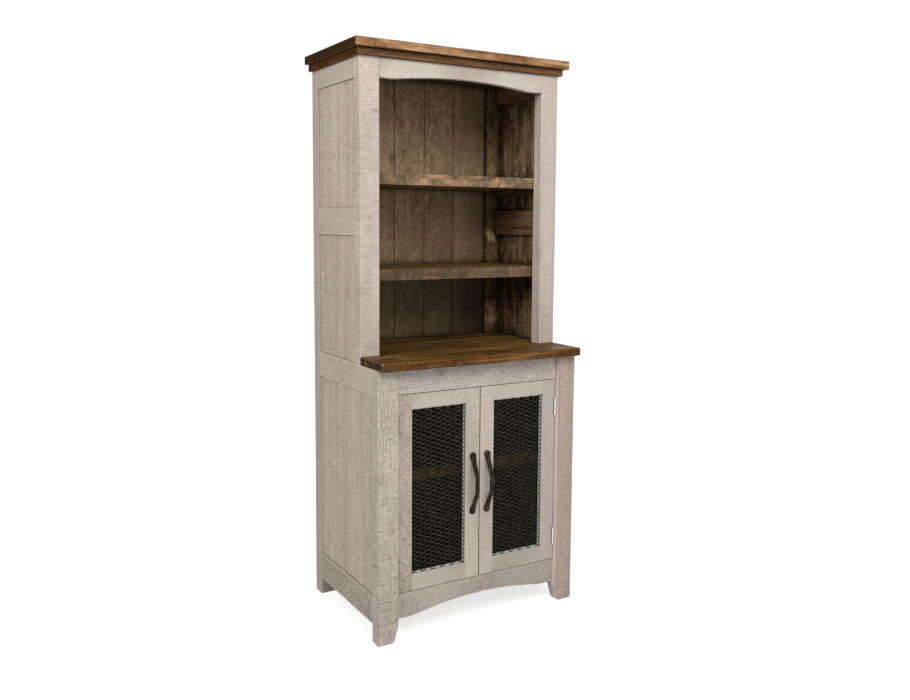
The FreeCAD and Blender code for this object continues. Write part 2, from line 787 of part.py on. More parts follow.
def glazing_beads():
    """Strips between mesh and glass, and strips behind the glass."""
    mesh_back = front_rail_y + glazing_lip + mesh_thickness
    glass_front = mesh_back + mesh_bead_thickness
    glass_back = glass_front + glass_thickness
    return Part.Compound(bead_frame(mesh_back, glass_front) + bead_frame(glass_back, door_back_y))


def knuckle_spans():
    """The low and high ends of each knuckle, counted from the foot of a hinge."""
    length = (hinge_length - (knuckle_count - 1) * knuckle_gap) / knuckle_count
    return [(n * (length + knuckle_gap), n * (length + knuckle_gap) + length) for n in range(knuckle_count)]


def hinge_leaf(z, first_knuckle, x0, x1):
    """A leaf with every second knuckle, rolled towards the pin."""
    clear = knuckle_radius + knuckle_gap
    leaf = block(x0, x1, pin_y + clear, pin_y + leaf_depth, z, z + hinge_length)
    solids = []
    for low, high in knuckle_spans()[first_knuckle::2]:
        solids.append(block(x0, x1, pin_y, pin_y + clear, z + low, z + high))
        solids.append(Part.makeCylinder(knuckle_radius, high - low, Vector(pin_x, pin_y, z + low)))
    return leaf.fuse(solids)


def hinge_rod(radius, z):
    """A round bar on the line of the pin, as long as the hinge."""
    return Part.makeCylinder(radius, hinge_length, Vector(pin_x, pin_y, z))


def hinge_frame_leaves():
    """Leaves on the inner side of the post, each with its pin fixed in the two outer knuckles."""
    x0 = base_post_inner_x - leaf_thickness
    leaves = [hinge_leaf(z, 0, x0, base_post_inner_x).fuse(hinge_rod(pin_radius, z)) for z in hinge_levels()]
    leaves = [leaf.removeSplitter() for leaf in leaves]
    return Part.Compound(leaves + [mirrored(leaf) for leaf in leaves])


def hinge_door_leaves():
    """Leaves let into the edge of the door. The middle knuckle turns on the pin."""
    x1 = base_post_inner_x - leaf_thickness - leaf_clearance
    bore = pin_radius + pin_clearance
    leaves = [hinge_leaf(z, 1, x1 - leaf_thickness, x1).cut(hinge_rod(bore, z)) for z in hinge_levels()]
    return Part.Compound([leaf.removeSplitter() for leaf in leaves])


def handle_side_profile(centre_x):
    """The bow seen from the side: flat feet, sloping arms and a straight grip."""
    face = front_rail_y
    low = handle_bottom_z
    high = handle_bottom_z + handle_length
    grip_low = low + (handle_length - handle_grip_length) / 2
    grip_high = high - (handle_length - handle_grip_length) / 2
    foot = handle_foot_length
    inner = handle_projection - handle_thickness
    lean = handle_thickness / 2
    points = [
        (0, low), (0, low + foot), (inner, grip_low + lean), (inner, grip_high - lean),
        (0, high - foot), (0, high), (handle_foot_thickness, high),
        (handle_foot_thickness, high - foot + lean), (handle_projection, grip_high),
        (handle_projection, grip_low), (handle_foot_thickness, low + foot - lean),
        (handle_foot_thickness, low),
    ]
    x0 = centre_x - handle_foot_width
    outline = [Vector(x0, face - out, z) for out, z in points]
    bow = prism(outline, Vector(2 * handle_foot_width, 0, 0))
    bends = []
    for edge in bow.Edges:
        ends = [v.Point for v in edge.Vertexes]
        across = abs(ends[0].x - ends[-1].x) > hair
        if across and low + hair < ends[0].z < high - hair:
            bends.append(edge)
    return bow.makeFillet(handle_bend_radius, bends)


def handle_front_outline(centre_x):
    """The bow seen from the front: round ends that narrow to the grip."""
    low = handle_bottom_z
    high = handle_bottom_z + handle_length
    foot = handle_foot_width / 2
    neck = handle_neck_width / 2
    grip = handle_grip_width / 2
    neck_rise = handle_foot_length + handle_foot_width / 2
    grip_rise = (handle_length - handle_grip_length) / 2
    y = front_rail_y - handle_projection - overrun
    right = [
        Vector(centre_x + foot, y, low + foot), Vector(centre_x + neck, y, low + neck_rise),
        Vector(centre_x + grip, y, low + grip_rise), Vector(centre_x + grip, y, high - grip_rise),
        Vector(centre_x + neck, y, high - neck_rise), Vector(centre_x + foot, y, high - foot),
    ]
    left = [Vector(2 * centre_x - p.x, p.y, p.z) for p in right]
    edges = [Part.LineSegment(a, b).toShape() for a, b in zip(right, right[1:])]
    edges += [Part.LineSegment(a, b).toShape() for a, b in zip(left, left[1:])]
    edges.append(Part.Arc(right[-1], Vector(centre_x, y, high), left[-1]).toShape())
    edges.append(Part.Arc(left[0], Vector(centre_x, y, low), right[0]).toShape())
    wire = Part.Wire(Part.__sortEdges__(edges))
    return Part.Face(wire).extrude(Vector(0, handle_projection + 2 * overrun, 0))


def handle():
    """A flat iron bar forged to a bow, round at both feet."""
    return handle_side_profile(handle_centre_x).common(handle_front_outline(handle_centre_x))


def door_catches():
    """A magnet in a small housing behind the front rail, reaching down behind each door."""
    x0 = catch_centre_x - catch_width / 2
    x1 = catch_centre_x + catch_width / 2
    back = front_rail_back_y + catch_depth
    top_z = middle_rail_bottom_z + catch_height - catch_reach
    low_z = middle_rail_bottom_z - catch_reach
    housing = block(x0, x1, front_rail_back_y, back, middle_rail_bottom_z, top_z)
    magnet_y = door_back_y + strike_thickness + catch_gap
    housing = housing.fuse(block(x0, x1, magnet_y, back, low_z, top_z)).removeSplitter()
    return Part.Compound([housing, mirrored(housing)])


def strike_plate():
    """A steel plate on the back of the door that the magnet holds."""
    x0 = catch_centre_x - catch_width / 2
    x1 = catch_centre_x + catch_width / 2
    high_z = door_top_z - door_edge_bevel
    return block(x0, x1, door_back_y, door_back_y + strike_thickness, high_z - strike_height, high_z)


def build_frame():
    save_pair("rear_post", rear_post())
    save_pair("base_front_post", base_front_post())
    save_pair("hutch_front_post", hutch_front_post())
    for name in side_rails:
        save_pair(name, side_rail(name))
    for name in side_panels:
        save_pair(name, side_panel(name))
    for name in back_rail_levels:
        save(name, back_rail(name))
    save("base_top_rail", base_top_rail())
    save("apron_rail", apron_rail())
    save("hutch_arch_rail", hutch_arch_rail())


def build_boards():
    save("counter_top", counter_top())
    save("crown_under_board", crown_under_board())
    save("crown_top_board", crown_top_board())
    shelf_span = (hutch_post_back_y + shelf_clearance, back_board_y - shelf_clearance)
    save("hutch_shelf_upper", shelf(upper_shelf_bottom_z, *shelf_span))
    save("hutch_shelf_lower", shelf(lower_shelf_bottom_z, *shelf_span))
    save("base_shelf", base_shelf())
    save("base_bottom_board", base_bottom_board())
    save("hutch_back_boards", hutch_back_boards())
    save("base_back_sheet", base_back_sheet())
    shelf_cleats().exportStep("parts/shelf_cleats.step")


def build_doors():
    save_pair("door_hinge_stile", door_hinge_stile())
    save_pair("door_meeting_stile", door_meeting_stile())
    for name in door_rail_levels:
        save_pair("door_" + name, door_rail(name))
    save_pair("door_mesh", mesh_guard())
    save_pair("door_glass", door_glass())
    save_pair("glazing_beads", glazing_beads())
    save_pair("door_handle", handle())
    save_pair("strike_plate", strike_plate())
    save_pair("hinge_door_leaves", hinge_door_leaves())
    hinge_frame_leaves().exportStep("parts/hinge_frame_leaves.step")
    save("door_catches", door_catches())


os.makedirs("parts", exist_ok=True)
build_frame()
build_boards()
build_doors()
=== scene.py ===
import json
import math
import random

import bmesh
import bpy
from mathutils import Matrix, Vector


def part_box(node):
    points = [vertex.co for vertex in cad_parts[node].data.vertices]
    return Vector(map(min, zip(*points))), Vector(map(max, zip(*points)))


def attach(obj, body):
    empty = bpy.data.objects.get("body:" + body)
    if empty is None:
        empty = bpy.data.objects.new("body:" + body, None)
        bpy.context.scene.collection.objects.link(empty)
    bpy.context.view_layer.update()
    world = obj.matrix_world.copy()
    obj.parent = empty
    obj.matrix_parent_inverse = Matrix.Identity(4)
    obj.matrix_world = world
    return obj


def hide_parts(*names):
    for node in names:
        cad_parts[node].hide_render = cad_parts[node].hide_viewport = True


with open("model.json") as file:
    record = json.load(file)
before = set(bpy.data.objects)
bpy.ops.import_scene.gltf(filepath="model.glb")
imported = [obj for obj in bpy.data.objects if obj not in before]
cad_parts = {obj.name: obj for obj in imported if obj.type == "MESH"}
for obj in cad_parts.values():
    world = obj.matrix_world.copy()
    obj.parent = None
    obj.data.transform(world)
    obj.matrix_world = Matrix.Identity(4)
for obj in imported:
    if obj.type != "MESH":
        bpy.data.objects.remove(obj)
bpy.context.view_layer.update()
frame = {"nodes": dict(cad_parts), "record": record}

# The photographer's stand: a tall cabinet seen from its left front corner, a little above the middle,
# with the lens slid down a touch so that the uprights stay nearly upright.
camera_place = Vector((-1.5696, -2.7003, 1.3587))
camera_turn = math.radians(-30.734)
camera_tilt = math.radians(-5.598)
camera_roll = math.radians(0.407)
lens_length = 34.951
lens_slide = -0.045
quarter_turn = math.radians(90)

stand = bpy.data.cameras.new("stand")
stand.lens = lens_length
stand.shift_y = lens_slide
photographer = bpy.data.objects.new("photographer", stand)
bpy.context.scene.collection.objects.link(photographer)
aim = Matrix.Rotation(camera_turn, 4, "Z") @ Matrix.Rotation(quarter_turn + camera_tilt, 4, "X")
photographer.matrix_world = Matrix.Translation(camera_place) @ aim @ Matrix.Rotation(camera_roll, 4, "Z")
bpy.context.scene.camera = photographer
bpy.context.scene.view_settings.view_transform = "Standard"


# The posts: two rear posts from the floor to the crown, two front posts under the counter and two above it,
# all of sawn pine. The saw's marks stay, and a chalky grey-beige paint is brushed on, rubbed through on the
# arrises and glazed brown in the hollows, which painted shade darkens further.
mm = 0.001
weld_distance = 0.02 * mm
same_plane = math.radians(0.4)
arris_corner = math.radians(50)
post_arris = 1.4 * mm
least_arris_run = 6 * mm
half_on = 0.5
square_on = 0.8

bodies = frame["record"]["behaviour"]["bodies"]
body_of = {node: body for body, members in bodies.items() for node in members}


def sawn_copy(*nodes):
    """The nodes' triangles joined into whole faces."""
    work = bmesh.new()
    for node in nodes:
        work.from_mesh(frame["nodes"][node].data)
    bmesh.ops.remove_doubles(work, verts=work.verts, dist=weld_distance)
    bmesh.ops.dissolve_limit(work, angle_limit=same_plane, verts=work.verts, edges=work.edges)
    return work


def ease_arrises(work, width, steps=2):
    """Planes a small round on every outer corner that is long enough to take it."""
    corners = []
    for edge in work.edges:
        long_enough = len(edge.link_faces) == 2 and edge.calc_length() >= least_arris_run
        if long_enough and edge.calc_face_angle_signed(0.0) > arris_corner:
            corners.append(edge)
    bmesh.ops.bevel(
        work, geom=corners, offset=width, offset_type="OFFSET", segments=steps, profile=0.5,
        affect="EDGES", clamp_overlap=True, material=-1,
    )


def number_boards(work, name):
    """Gives each separate board a number of its own between 0 and 1, which its grain and tone follow."""
    layer = work.verts.layers.float.new("board")
    draw = random.Random(name)
    left = set(work.verts)
    for first in work.verts:
        if first not in left:
            continue
        number = draw.random()
        left.discard(first)
        reached = [first]
        while reached:
            vert = reached.pop()
            vert[layer] = number
            for edge in vert.link_edges:
                other = edge.other_vert(vert)
                if other in left:
                    left.discard(other)
                    reached.append(other)


def set_in_place(work, name, body, materials, nodes=(), smooth=False):
    """Makes the finished piece and hangs it on its body. smooth is for forged work, without flat faces."""
    if smooth:
        for face in work.faces:
            face.smooth = True
    mesh = bpy.data.meshes.new(name)
    work.to_mesh(mesh)
    work.free()
    for material in materials:
        mesh.materials.append(material)
    piece = bpy.data.objects.new(name, mesh)
    bpy.context.scene.collection.objects.link(piece)
    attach(piece, body)
    if nodes:
        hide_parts(*nodes)


def dress(node, materials, arris, look_of=None, shape=None):
    """A piece as it leaves the bench. look_of tells which of the materials a face takes, often by how far it
    looks one way, half on or square on. shape is a step that comes before the arrises are eased. With no
    arris they stay as the saw left them."""
    work = sawn_copy(node)
    if shape:
        shape(work)
    if arris:
        ease_arrises(work, arris)
    number_boards(work, node)
    if look_of:
        for face in work.faces:
            face.material_index = int(look_of(face))
    set_in_place(work, node + "_dressed", body_of[node], materials, [node])


def ink(red, green, blue):
    """A colour given in screen values from 0 to 255, as the shader wants it."""
    parts = [value / 255 for value in (red, green, blue)]
    linear = [part / 12.92 if part < 0.04045 else ((part + 0.055) / 1.055) ** 2.4 for part in parts]
    return (*linear, 1.0)


def add(tree, kind, sockets=None, **settings):
    """A shader node with its settings, each socket either joined to another or set to a value."""
    made = tree.nodes.new("ShaderNode" + kind)
    for setting, value in settings.items():
        setattr(made, setting, value)
    for socket, value in (sockets or {}).items():
        if isinstance(value, bpy.types.NodeSocket):
            tree.links.new(value, made.inputs[socket])
        else:
            made.inputs[socket].default_value = value
    return made


def sums(tree, operation, first, second=0.5, clamp=False):
    return add(tree, "Math", {0: first, 1: second}, operation=operation, use_clamp=clamp).outputs[0]


def times(tree, first, second):
    return sums(tree, "MULTIPLY", first, second)


def spread(tree, value, low, high, out_low=0.0, out_high=1.0):
    """value between low and high taken smoothly to between out_low and out_high."""
    sockets = {"Value": value, "From Min": low, "From Max": high, "To Min": out_low, "To Max": out_high}
    return add(tree, "MapRange", sockets, interpolation_type="SMOOTHSTEP").outputs["Result"]


def mixed(tree, share, under, over):
    """One colour laid over another."""
    return add(tree, "Mix", {0: share, 6: under, 7: over}, data_type="RGBA").outputs[2]


def stretched(tree, vector, x, y, z):
    return add(tree, "VectorMath", {0: vector, 1: (x, y, z)}, operation="MULTIPLY").outputs[0]


def noise(tree, vector, scale, detail=2.0, rough=0.5):
    sockets = {"Vector": vector, "Scale": scale, "Detail": detail, "Roughness": rough}
    return add(tree, "TexNoise", sockets).outputs["Fac"]


def new_group(name, inputs, outputs):
    """An empty shader group. Its inputs are (name, kind, value) and its outputs (name, kind)."""
    kinds = {"number": "NodeSocketFloat", "colour": "NodeSocketColor", "vector": "NodeSocketVector"}
    tree = bpy.data.node_groups.new(name, "ShaderNodeTree")
    for label, kind, value in inputs:
        socket = tree.interface.new_socket(name=label, in_out="INPUT", socket_type=kinds[kind])
        if value is not None:
            socket.default_value = value
    for label, kind in outputs:
        tree.interface.new_socket(name=label, in_out="OUTPUT", socket_type=kinds[kind])
    return tree, tree.nodes.new("NodeGroupInput").outputs, tree.nodes.new("NodeGroupOutput").inputs


def use_group(tree, group, sockets):
    made = tree.nodes.new("ShaderNodeGroup")
    made.node_tree = group
    for socket, value in sockets.items():
        if isinstance(value, bpy.types.NodeSocket):
            tree.links.new(value, made.inputs[socket])
        else:
            made.inputs[socket].default_value = value
    return made.outputs


# Pine as the saw leaves it: fine fibres along the grain, broad growth rings that bend round the knots, and
# the knots themselves. Each board is cut from another part of the figure.
pine, given, gives = new_group(
    "pine_figure",
    [("Vector", "vector", None), ("Board", "number", 0.0)],
    [("Fibre", "number"), ("Rings", "number"), ("Knot", "number"), ("Blotch", "number"), ("Patch", "number")],
)
board_strides = (3.1, 5.7, 9.3)
strides = {axis: times(pine, given["Board"], stride) for axis, stride in enumerate(board_strides)}
shift = add(pine, "CombineXYZ", strides).outputs[0]
place = add(pine, "VectorMath", {0: given["Vector"], 1: shift}, operation="ADD").outputs[0]
knots = add(pine, "TexVoronoi", {"Vector": stretched(pine, place, 7.0, 7.0, 4.4), "Scale": 1.0})
near_knot = spread(pine, knots.outputs["Distance"], 0.62, 0.0)
knot = spread(pine, knots.outputs["Distance"], 0.13, 0.07)
rings_across = 9.0
rings_round_knot = 1.6
swell = noise(pine, stretched(pine, place, 1.0, 1.0, 0.09), 13.0, 1.5)
ring_field = sums(pine, "ADD", times(pine, swell, rings_across), times(pine, near_knot, rings_round_knot))
ring_wave = sums(pine, "SINE", times(pine, ring_field, 2 * math.pi), 0.0)
pine.links.new(spread(pine, ring_wave, -0.4, 1.0), gives["Rings"])
pine.links.new(noise(pine, stretched(pine, place, 1.0, 1.0, 0.022), 430.0, 3.0, 0.65), gives["Fibre"])
pine.links.new(knot, gives["Knot"])
pine.links.new(noise(pine, stretched(pine, place, 1.0, 1.0, 0.45), 9.0, 3.0), gives["Blotch"])
pine.links.new(noise(pine, place, 75.0, 4.0, 0.7), gives["Patch"])

# The marks that a band saw leaves across the grain: broken, uneven scratches with raised lips beside them,
# and now and then a regular set of lines.
saw, given, gives = new_group(
    "saw_marks",
    [("Vector", "vector", None), ("Board", "number", 0.0), ("Spacing", "number", 8 * mm),
     ("Slope", "number", 0.0), ("Regular", "number", 0.3)],
    [("Marks", "number"), ("Ridges", "number")],
)
axes = add(saw, "SeparateXYZ", {0: given["Vector"]}).outputs
across = times(saw, sums(saw, "ADD", axes[0], axes[1]), given["Slope"])
wander = times(saw, noise(saw, given["Vector"], 4.0, 1.0), 10 * mm)
run = sums(saw, "ADD", sums(saw, "ADD", axes[2], across), sums(saw, "ADD", wander, given["Board"]))
leaning = add(saw, "CombineXYZ", {0: axes[0], 1: axes[1], 2: run}).outputs[0]
scratches = noise(saw, stretched(saw, leaning, 22.0, 22.0, 130.0), 1.0, 4.0, 0.68)
patches = spread(saw, noise(saw, stretched(saw, leaning, 9.0, 9.0, 14.0), 1.0, 2.0), 0.36, 0.6, 0.3, 1.0)
cuts = times(saw, spread(saw, scratches, 0.54, 0.66), patches)
waves = sums(saw, "SINE", times(saw, sums(saw, "DIVIDE", run, given["Spacing"]), 2 * math.pi), 0.0)
broken = noise(saw, stretched(saw, leaning, 20.0, 20.0, 45.0), 1.0, 3.0, 0.6)
kept = times(saw, spread(saw, broken, 0.45, 0.62), given["Regular"])
lines = times(saw, spread(saw, waves, 0.45, 1.0), kept)
lips = times(saw, spread(saw, waves, -0.3, -1.0), kept)
saw.links.new(sums(saw, "MAXIMUM", cuts, lines), gives["Marks"])
raised = times(saw, spread(saw, scratches, 0.46, 0.34), patches)
saw.links.new(sums(saw, "MAXIMUM", raised, lips), gives["Ridges"])

# Where hands and sandpaper reach, the arrises and the chips along them. The arris band is also lit paler as a
# painted highlight where it is wide, and the hollows beside other pieces are darkened as painted shade.
wear_and_shade, given, gives = new_group(
    "arris_and_hollow",
    [("Vector", "vector", None), ("Width", "number", 4 * mm), ("Depth", "number", 8 * mm)],
    [("Arris", "number"), ("Chip", "number"), ("Hollow", "number")],
)
# A band along each arris, painted paler by the coats as wear and, where wide, as a painted highlight.
rounded = add(wear_and_shade, "Bevel", {"Radius": given["Width"]}, samples=6).outputs[0]
flat = add(wear_and_shade, "NewGeometry").outputs["True Normal"]
facing = add(wear_and_shade, "VectorMath", {0: rounded, 1: flat}, operation="DOT_PRODUCT").outputs["Value"]
turned_off = times(wear_and_shade, sums(wear_and_shade, "SUBTRACT", 1.0, facing), 4.0)
ragged = noise(wear_and_shade, given["Vector"], 60.0, 4.0, 0.65)
rubbed_and_lit = times(wear_and_shade, turned_off, sums(wear_and_shade, "ADD", ragged, 0.3))
wear_and_shade.links.new(spread(wear_and_shade, rubbed_and_lit, 0.1, 0.7), gives["Arris"])
flakes = noise(wear_and_shade, given["Vector"], 130.0, 4.0, 0.7)
wear_and_shade.links.new(spread(wear_and_shade, times(wear_and_shade, turned_off, flakes), 0.62, 0.8), gives["Chip"])
# Ambient occlusion: painted shade in corners and beside other pieces.
shade = add(wear_and_shade, "AmbientOcclusion", {"Distance": given["Depth"]}, samples=8).outputs["AO"]
wear_and_shade.links.new(spread(wear_and_shade, shade, 0.92, 0.4), gives["Hollow"])

# Chalk paint over sawn pine: brushed thin on the fibres, glazed a little darker in the saw's marks, with
# painted shade there and a painted highlight on their lips, brown glaze and painted shade in the hollows,
# rubbed pale on the arrises, where a painted highlight also falls, with the knots bleeding through.
coat, given, gives = new_group(
    "chalk_paint",
    [("Paint", "colour", ink(196, 184, 172)), ("Shade", "colour", ink(172, 160, 147)),
     ("Glaze", "colour", ink(104, 84, 66)), ("Rubbed", "colour", ink(222, 212, 200)),
     ("Wood", "colour", ink(150, 116, 82)),
     ("Fibre", "number", 0.5), ("Rings", "number", 0.5), ("Knot", "number", 0.0), ("Blotch", "number", 0.5),
     ("Patch", "number", 0.5), ("Patchy", "number", 0.3),
     ("Marks", "number", 0.0), ("Ridges", "number", 0.0), ("Mark depth", "number", 0.5),
     ("Arris", "number", 0.0), ("Chip", "number", 0.0), ("Hollow", "number", 0.0), ("Grime", "number", 0.75),
     ("Board", "number", 0.0)],
    [("Colour", "colour"), ("Rough", "number"), ("Height", "number")],
)


def laid_over(tree, tone, layers):
    """Colours laid over one another in turn. A layer is a mask, the share of it that shows, and a colour."""
    for mask, share, over in layers:
        tone = mixed(tree, times(tree, mask, share), tone, over)
    return tone


pale_flecks = spread(coat, given["Patch"], 0.5, 0.7)
dark_flecks = spread(coat, given["Patch"], 0.46, 0.3)
tone = mixed(coat, spread(coat, given["Blotch"], 0.32, 0.72, 0.0, 0.8), given["Paint"], given["Shade"])
tone = laid_over(coat, tone, [
    (pale_flecks, given["Patchy"], given["Rubbed"]),
    (dark_flecks, given["Patchy"], given["Glaze"]),
])
tone = mixed(coat, spread(coat, given["Fibre"], 0.5, 0.75, 0.0, 0.3), tone, given["Shade"])
tone = laid_over(coat, tone, [
    (given["Rings"], 0.1, given["Shade"]),
    (given["Board"], 0.25, given["Shade"]),
    # The marks' lips are lit paler and the marks darkened: painted highlight and painted shade, besides the
    # glaze.
    (given["Ridges"], given["Mark depth"], given["Rubbed"]),
    (given["Marks"], given["Mark depth"], given["Glaze"]),
    (given["Knot"], 0.22, given["Glaze"]),
    (given["Arris"], 0.75, given["Rubbed"]),
    (given["Chip"], 0.7, given["Wood"]),
    # Painted shade: the hollows darkened in the glaze's brown.
    (given["Hollow"], given["Grime"], given["Glaze"]),
])
coat.links.new(tone, gives["Colour"])
coat.links.new(spread(coat, given["Fibre"], 0.3, 0.7, 0.62, 0.8), gives["Rough"])
relief = times(coat, given["Fibre"], 0.3)
relief = sums(coat, "ADD", relief, times(coat, given["Rings"], 0.1))
relief = sums(coat, "SUBTRACT", relief, times(coat, given["Marks"], 0.5))
relief = sums(coat, "ADD", relief, times(coat, given["Ridges"], 0.25))
coat.links.new(relief, gives["Height"])

coat_relief = 0.5 * mm
coat_gloss = 0.2
saw_spacing = 8 * mm
planer_spacing = 9 * mm
paint_wear_and_shade = ("Arris", "Chip", "Hollow")
stain_wear_and_shade = ("Arris", "Hollow")
grain_turns = {"z": (0.0, 0.0, 0.0), "x": (0.0, -quarter_turn, 0.0), "y": (quarter_turn, 0.0, 0.0)}


def new_material(name):
    material = bpy.data.materials.new(name)
    material.use_nodes = True
    tree = material.node_tree
    return material, tree, tree.nodes["Principled BSDF"].inputs


def surface(tree, grain, wear_and_shade_masks, hollow_reach, arris_reach=4 * mm, **sawing):
    """The piece's own coordinates turned so that the grain runs along the last one, and what pine and the
    kinds of wear and painted shade asked for show there, by the names that the coats ask for. hollow_reach is
    how far from a corner its painted shade spreads, and arris_reach how far from an arris it is painted
    paler, as rubbed wear and, where it reaches far, as a painted highlight."""
    own = add(tree, "TexCoord").outputs["Object"]
    turned = add(tree, "Mapping", {"Vector": own, "Rotation": grain_turns[grain]}).outputs[0]
    board = add(tree, "Attribute", attribute_name="board").outputs["Fac"]
    figure = use_group(tree, pine, {"Vector": turned, "Board": board})
    lines = use_group(tree, saw, {"Vector": turned, "Board": board, **sawing})
    edges = use_group(tree, wear_and_shade, {"Vector": turned, "Depth": hollow_reach, "Width": arris_reach})
    values = {label: figure[label] for label in ("Fibre", "Rings", "Knot", "Blotch", "Patch")}
    values.update({"Marks": lines["Marks"], "Ridges": lines["Ridges"], "Board": board})
    values.update({label: edges[label] for label in wear_and_shade_masks})
    return turned, values


def finish_coat(tree, shader, group, values, mix, gloss):
    """Lays the coat on. mix holds its own colours and shares, by the group's names with _ for each space."""
    values.update({label.replace("_", " "): value for label, value in mix.items()})
    look = use_group(tree, group, values)
    tree.links.new(look["Colour"], shader["Base Color"])
    tree.links.new(look["Rough"], shader["Roughness"])
    bump = add(tree, "Bump", {"Height": look["Height"], "Distance": coat_relief, "Strength": 0.4})
    tree.links.new(bump.outputs[0], shader["Normal"])
    shader["Specular IOR Level"].default_value = gloss


def painted_pine(
        name, grain, depth=0.2, ruled=0.0, spacing=saw_spacing, slope=0.0, regular=0.3,
        hollow_reach=6 * mm, arris_reach=4 * mm, speckle=None, bands=None, **mix):
    """Painted timber. ruled is how much of a second set of marks runs along the grain, as a coarse planer
    leaves, speckle the scale of the flecks, and bands that of long bands of another tone along the grain."""
    material, tree, shader = new_material(name)
    turned, values = surface(
        tree, grain, paint_wear_and_shade, hollow_reach, arris_reach, Spacing=spacing, Slope=slope, Regular=regular)
    if ruled:
        axes = add(tree, "SeparateXYZ", {0: turned}).outputs
        beside = sums(tree, "SUBTRACT", axes[0], axes[1])
        across = sums(tree, "ADD", axes[0], axes[1])
        side_on = add(tree, "CombineXYZ", {0: axes[2], 1: beside, 2: across}).outputs[0]
        planed = {"Vector": side_on, "Board": values["Board"], "Spacing": planer_spacing, "Regular": 1.0}
        more = use_group(tree, saw, planed)
        for label in ("Marks", "Ridges"):
            values[label] = sums(tree, "MAXIMUM", values[label], times(tree, more[label], ruled))
    if speckle:
        values["Patch"] = noise(tree, turned, speckle, 3.0, 0.7)
    if bands:
        values["Blotch"] = noise(tree, stretched(tree, turned, 1.0, 1.0, 0.035), bands, 3.0, 0.6)
    values["Mark depth"] = depth
    finish_coat(tree, shader, coat, values, mix, coat_gloss)
    return material


# Stained pine: the rings and knots show dark, pale streaks run along some boards, the saw's marks hold the
# stain, end grain drinks it up, and the arrises are rubbed pale. The lips beside the marks get a painted
# highlight, the hollows painted shade, and the wood can be painted darker low down and to the right as shade.
stain, given, gives = new_group(
    "rubbed_stain",
    [("Light", "colour", ink(170, 125, 80)), ("Dark", "colour", ink(105, 70, 40)),
     ("Deep", "colour", ink(50, 34, 20)), ("Rubbed", "colour", ink(190, 150, 105)),
     ("Fibre", "number", 0.5), ("Rings", "number", 0.5), ("Knot", "number", 0.0), ("Blotch", "number", 0.5),
     ("Patch", "number", 0.5), ("Patchy", "number", 0.2), ("Ring depth", "number", 0.3),
     ("Blotchy", "number", 0.5), ("Knotty", "number", 0.85), ("Worn", "number", 0.45),
     ("Marks", "number", 0.0), ("Ridges", "number", 0.0), ("Mark depth", "number", 0.4),
     ("Arris", "number", 0.0), ("Hollow", "number", 0.0), ("Board", "number", 0.0),
     ("Sheen", "number", 0.5), ("Streak", "number", 0.0), ("End grain", "number", 0.0),
     ("Streaks and shade", "number", 0.0)],
    [("Colour", "colour"), ("Rough", "number"), ("Height", "number")],
)
soaked = sums(stain, "ADD", times(stain, given["Rings"], given["Ring depth"]),
              times(stain, spread(stain, given["Blotch"], 0.3, 0.7), given["Blotchy"]))
soaked = sums(stain, "ADD", soaked, times(stain, given["Board"], 0.3), clamp=True)
tone = mixed(stain, soaked, given["Light"], given["Dark"])
tone = mixed(stain, spread(stain, given["Fibre"], 0.46, 0.72, 0.0, 0.55), tone, given["Dark"])
tone = mixed(stain, given["Streak"], tone, given["Rubbed"])
tone = laid_over(stain, tone, [
    (spread(stain, given["Patch"], 0.5, 0.7), given["Patchy"], given["Rubbed"]),
    (spread(stain, given["Patch"], 0.46, 0.3), given["Patchy"], given["Deep"]),
    # Painted highlight on the marks' lips.
    (given["Ridges"], given["Mark depth"], given["Rubbed"]),
    (given["Marks"], given["Mark depth"], given["Deep"]),
    (given["Knot"], given["Knotty"], given["Deep"]),
    (given["Arris"], given["Worn"], given["Rubbed"]),
    (given["End grain"], 0.7, given["Deep"]),
])
# Painted shade low down and to the right, mixed with the dark streaks.
tone = mixed(stain, given["Streaks and shade"], tone, given["Deep"])
# Painted shade in the hollows.
tone = laid_over(stain, tone, [(given["Hollow"], 0.8, given["Deep"])])
stain.links.new(tone, gives["Colour"])
fibre_dull = spread(stain, given["Fibre"], 0.3, 0.7, -0.06, 0.1)
stain.links.new(sums(stain, "ADD", given["Sheen"], fibre_dull), gives["Rough"])
relief = sums(stain, "ADD", times(stain, given["Fibre"], 0.4), times(stain, given["Rings"], 0.2))
relief = sums(stain, "SUBTRACT", relief, times(stain, given["Marks"], 0.5))
stain.links.new(relief, gives["Height"])

scrape_fade = 15 * mm
shade_heights = (1.5, 1.0)
shade_across = (-0.1, 0.3)
grain_axes = {"x": (1.0, 0.0, 0.0), "y": (0.0, 1.0, 0.0), "z": (0.0, 0.0, 1.0)}


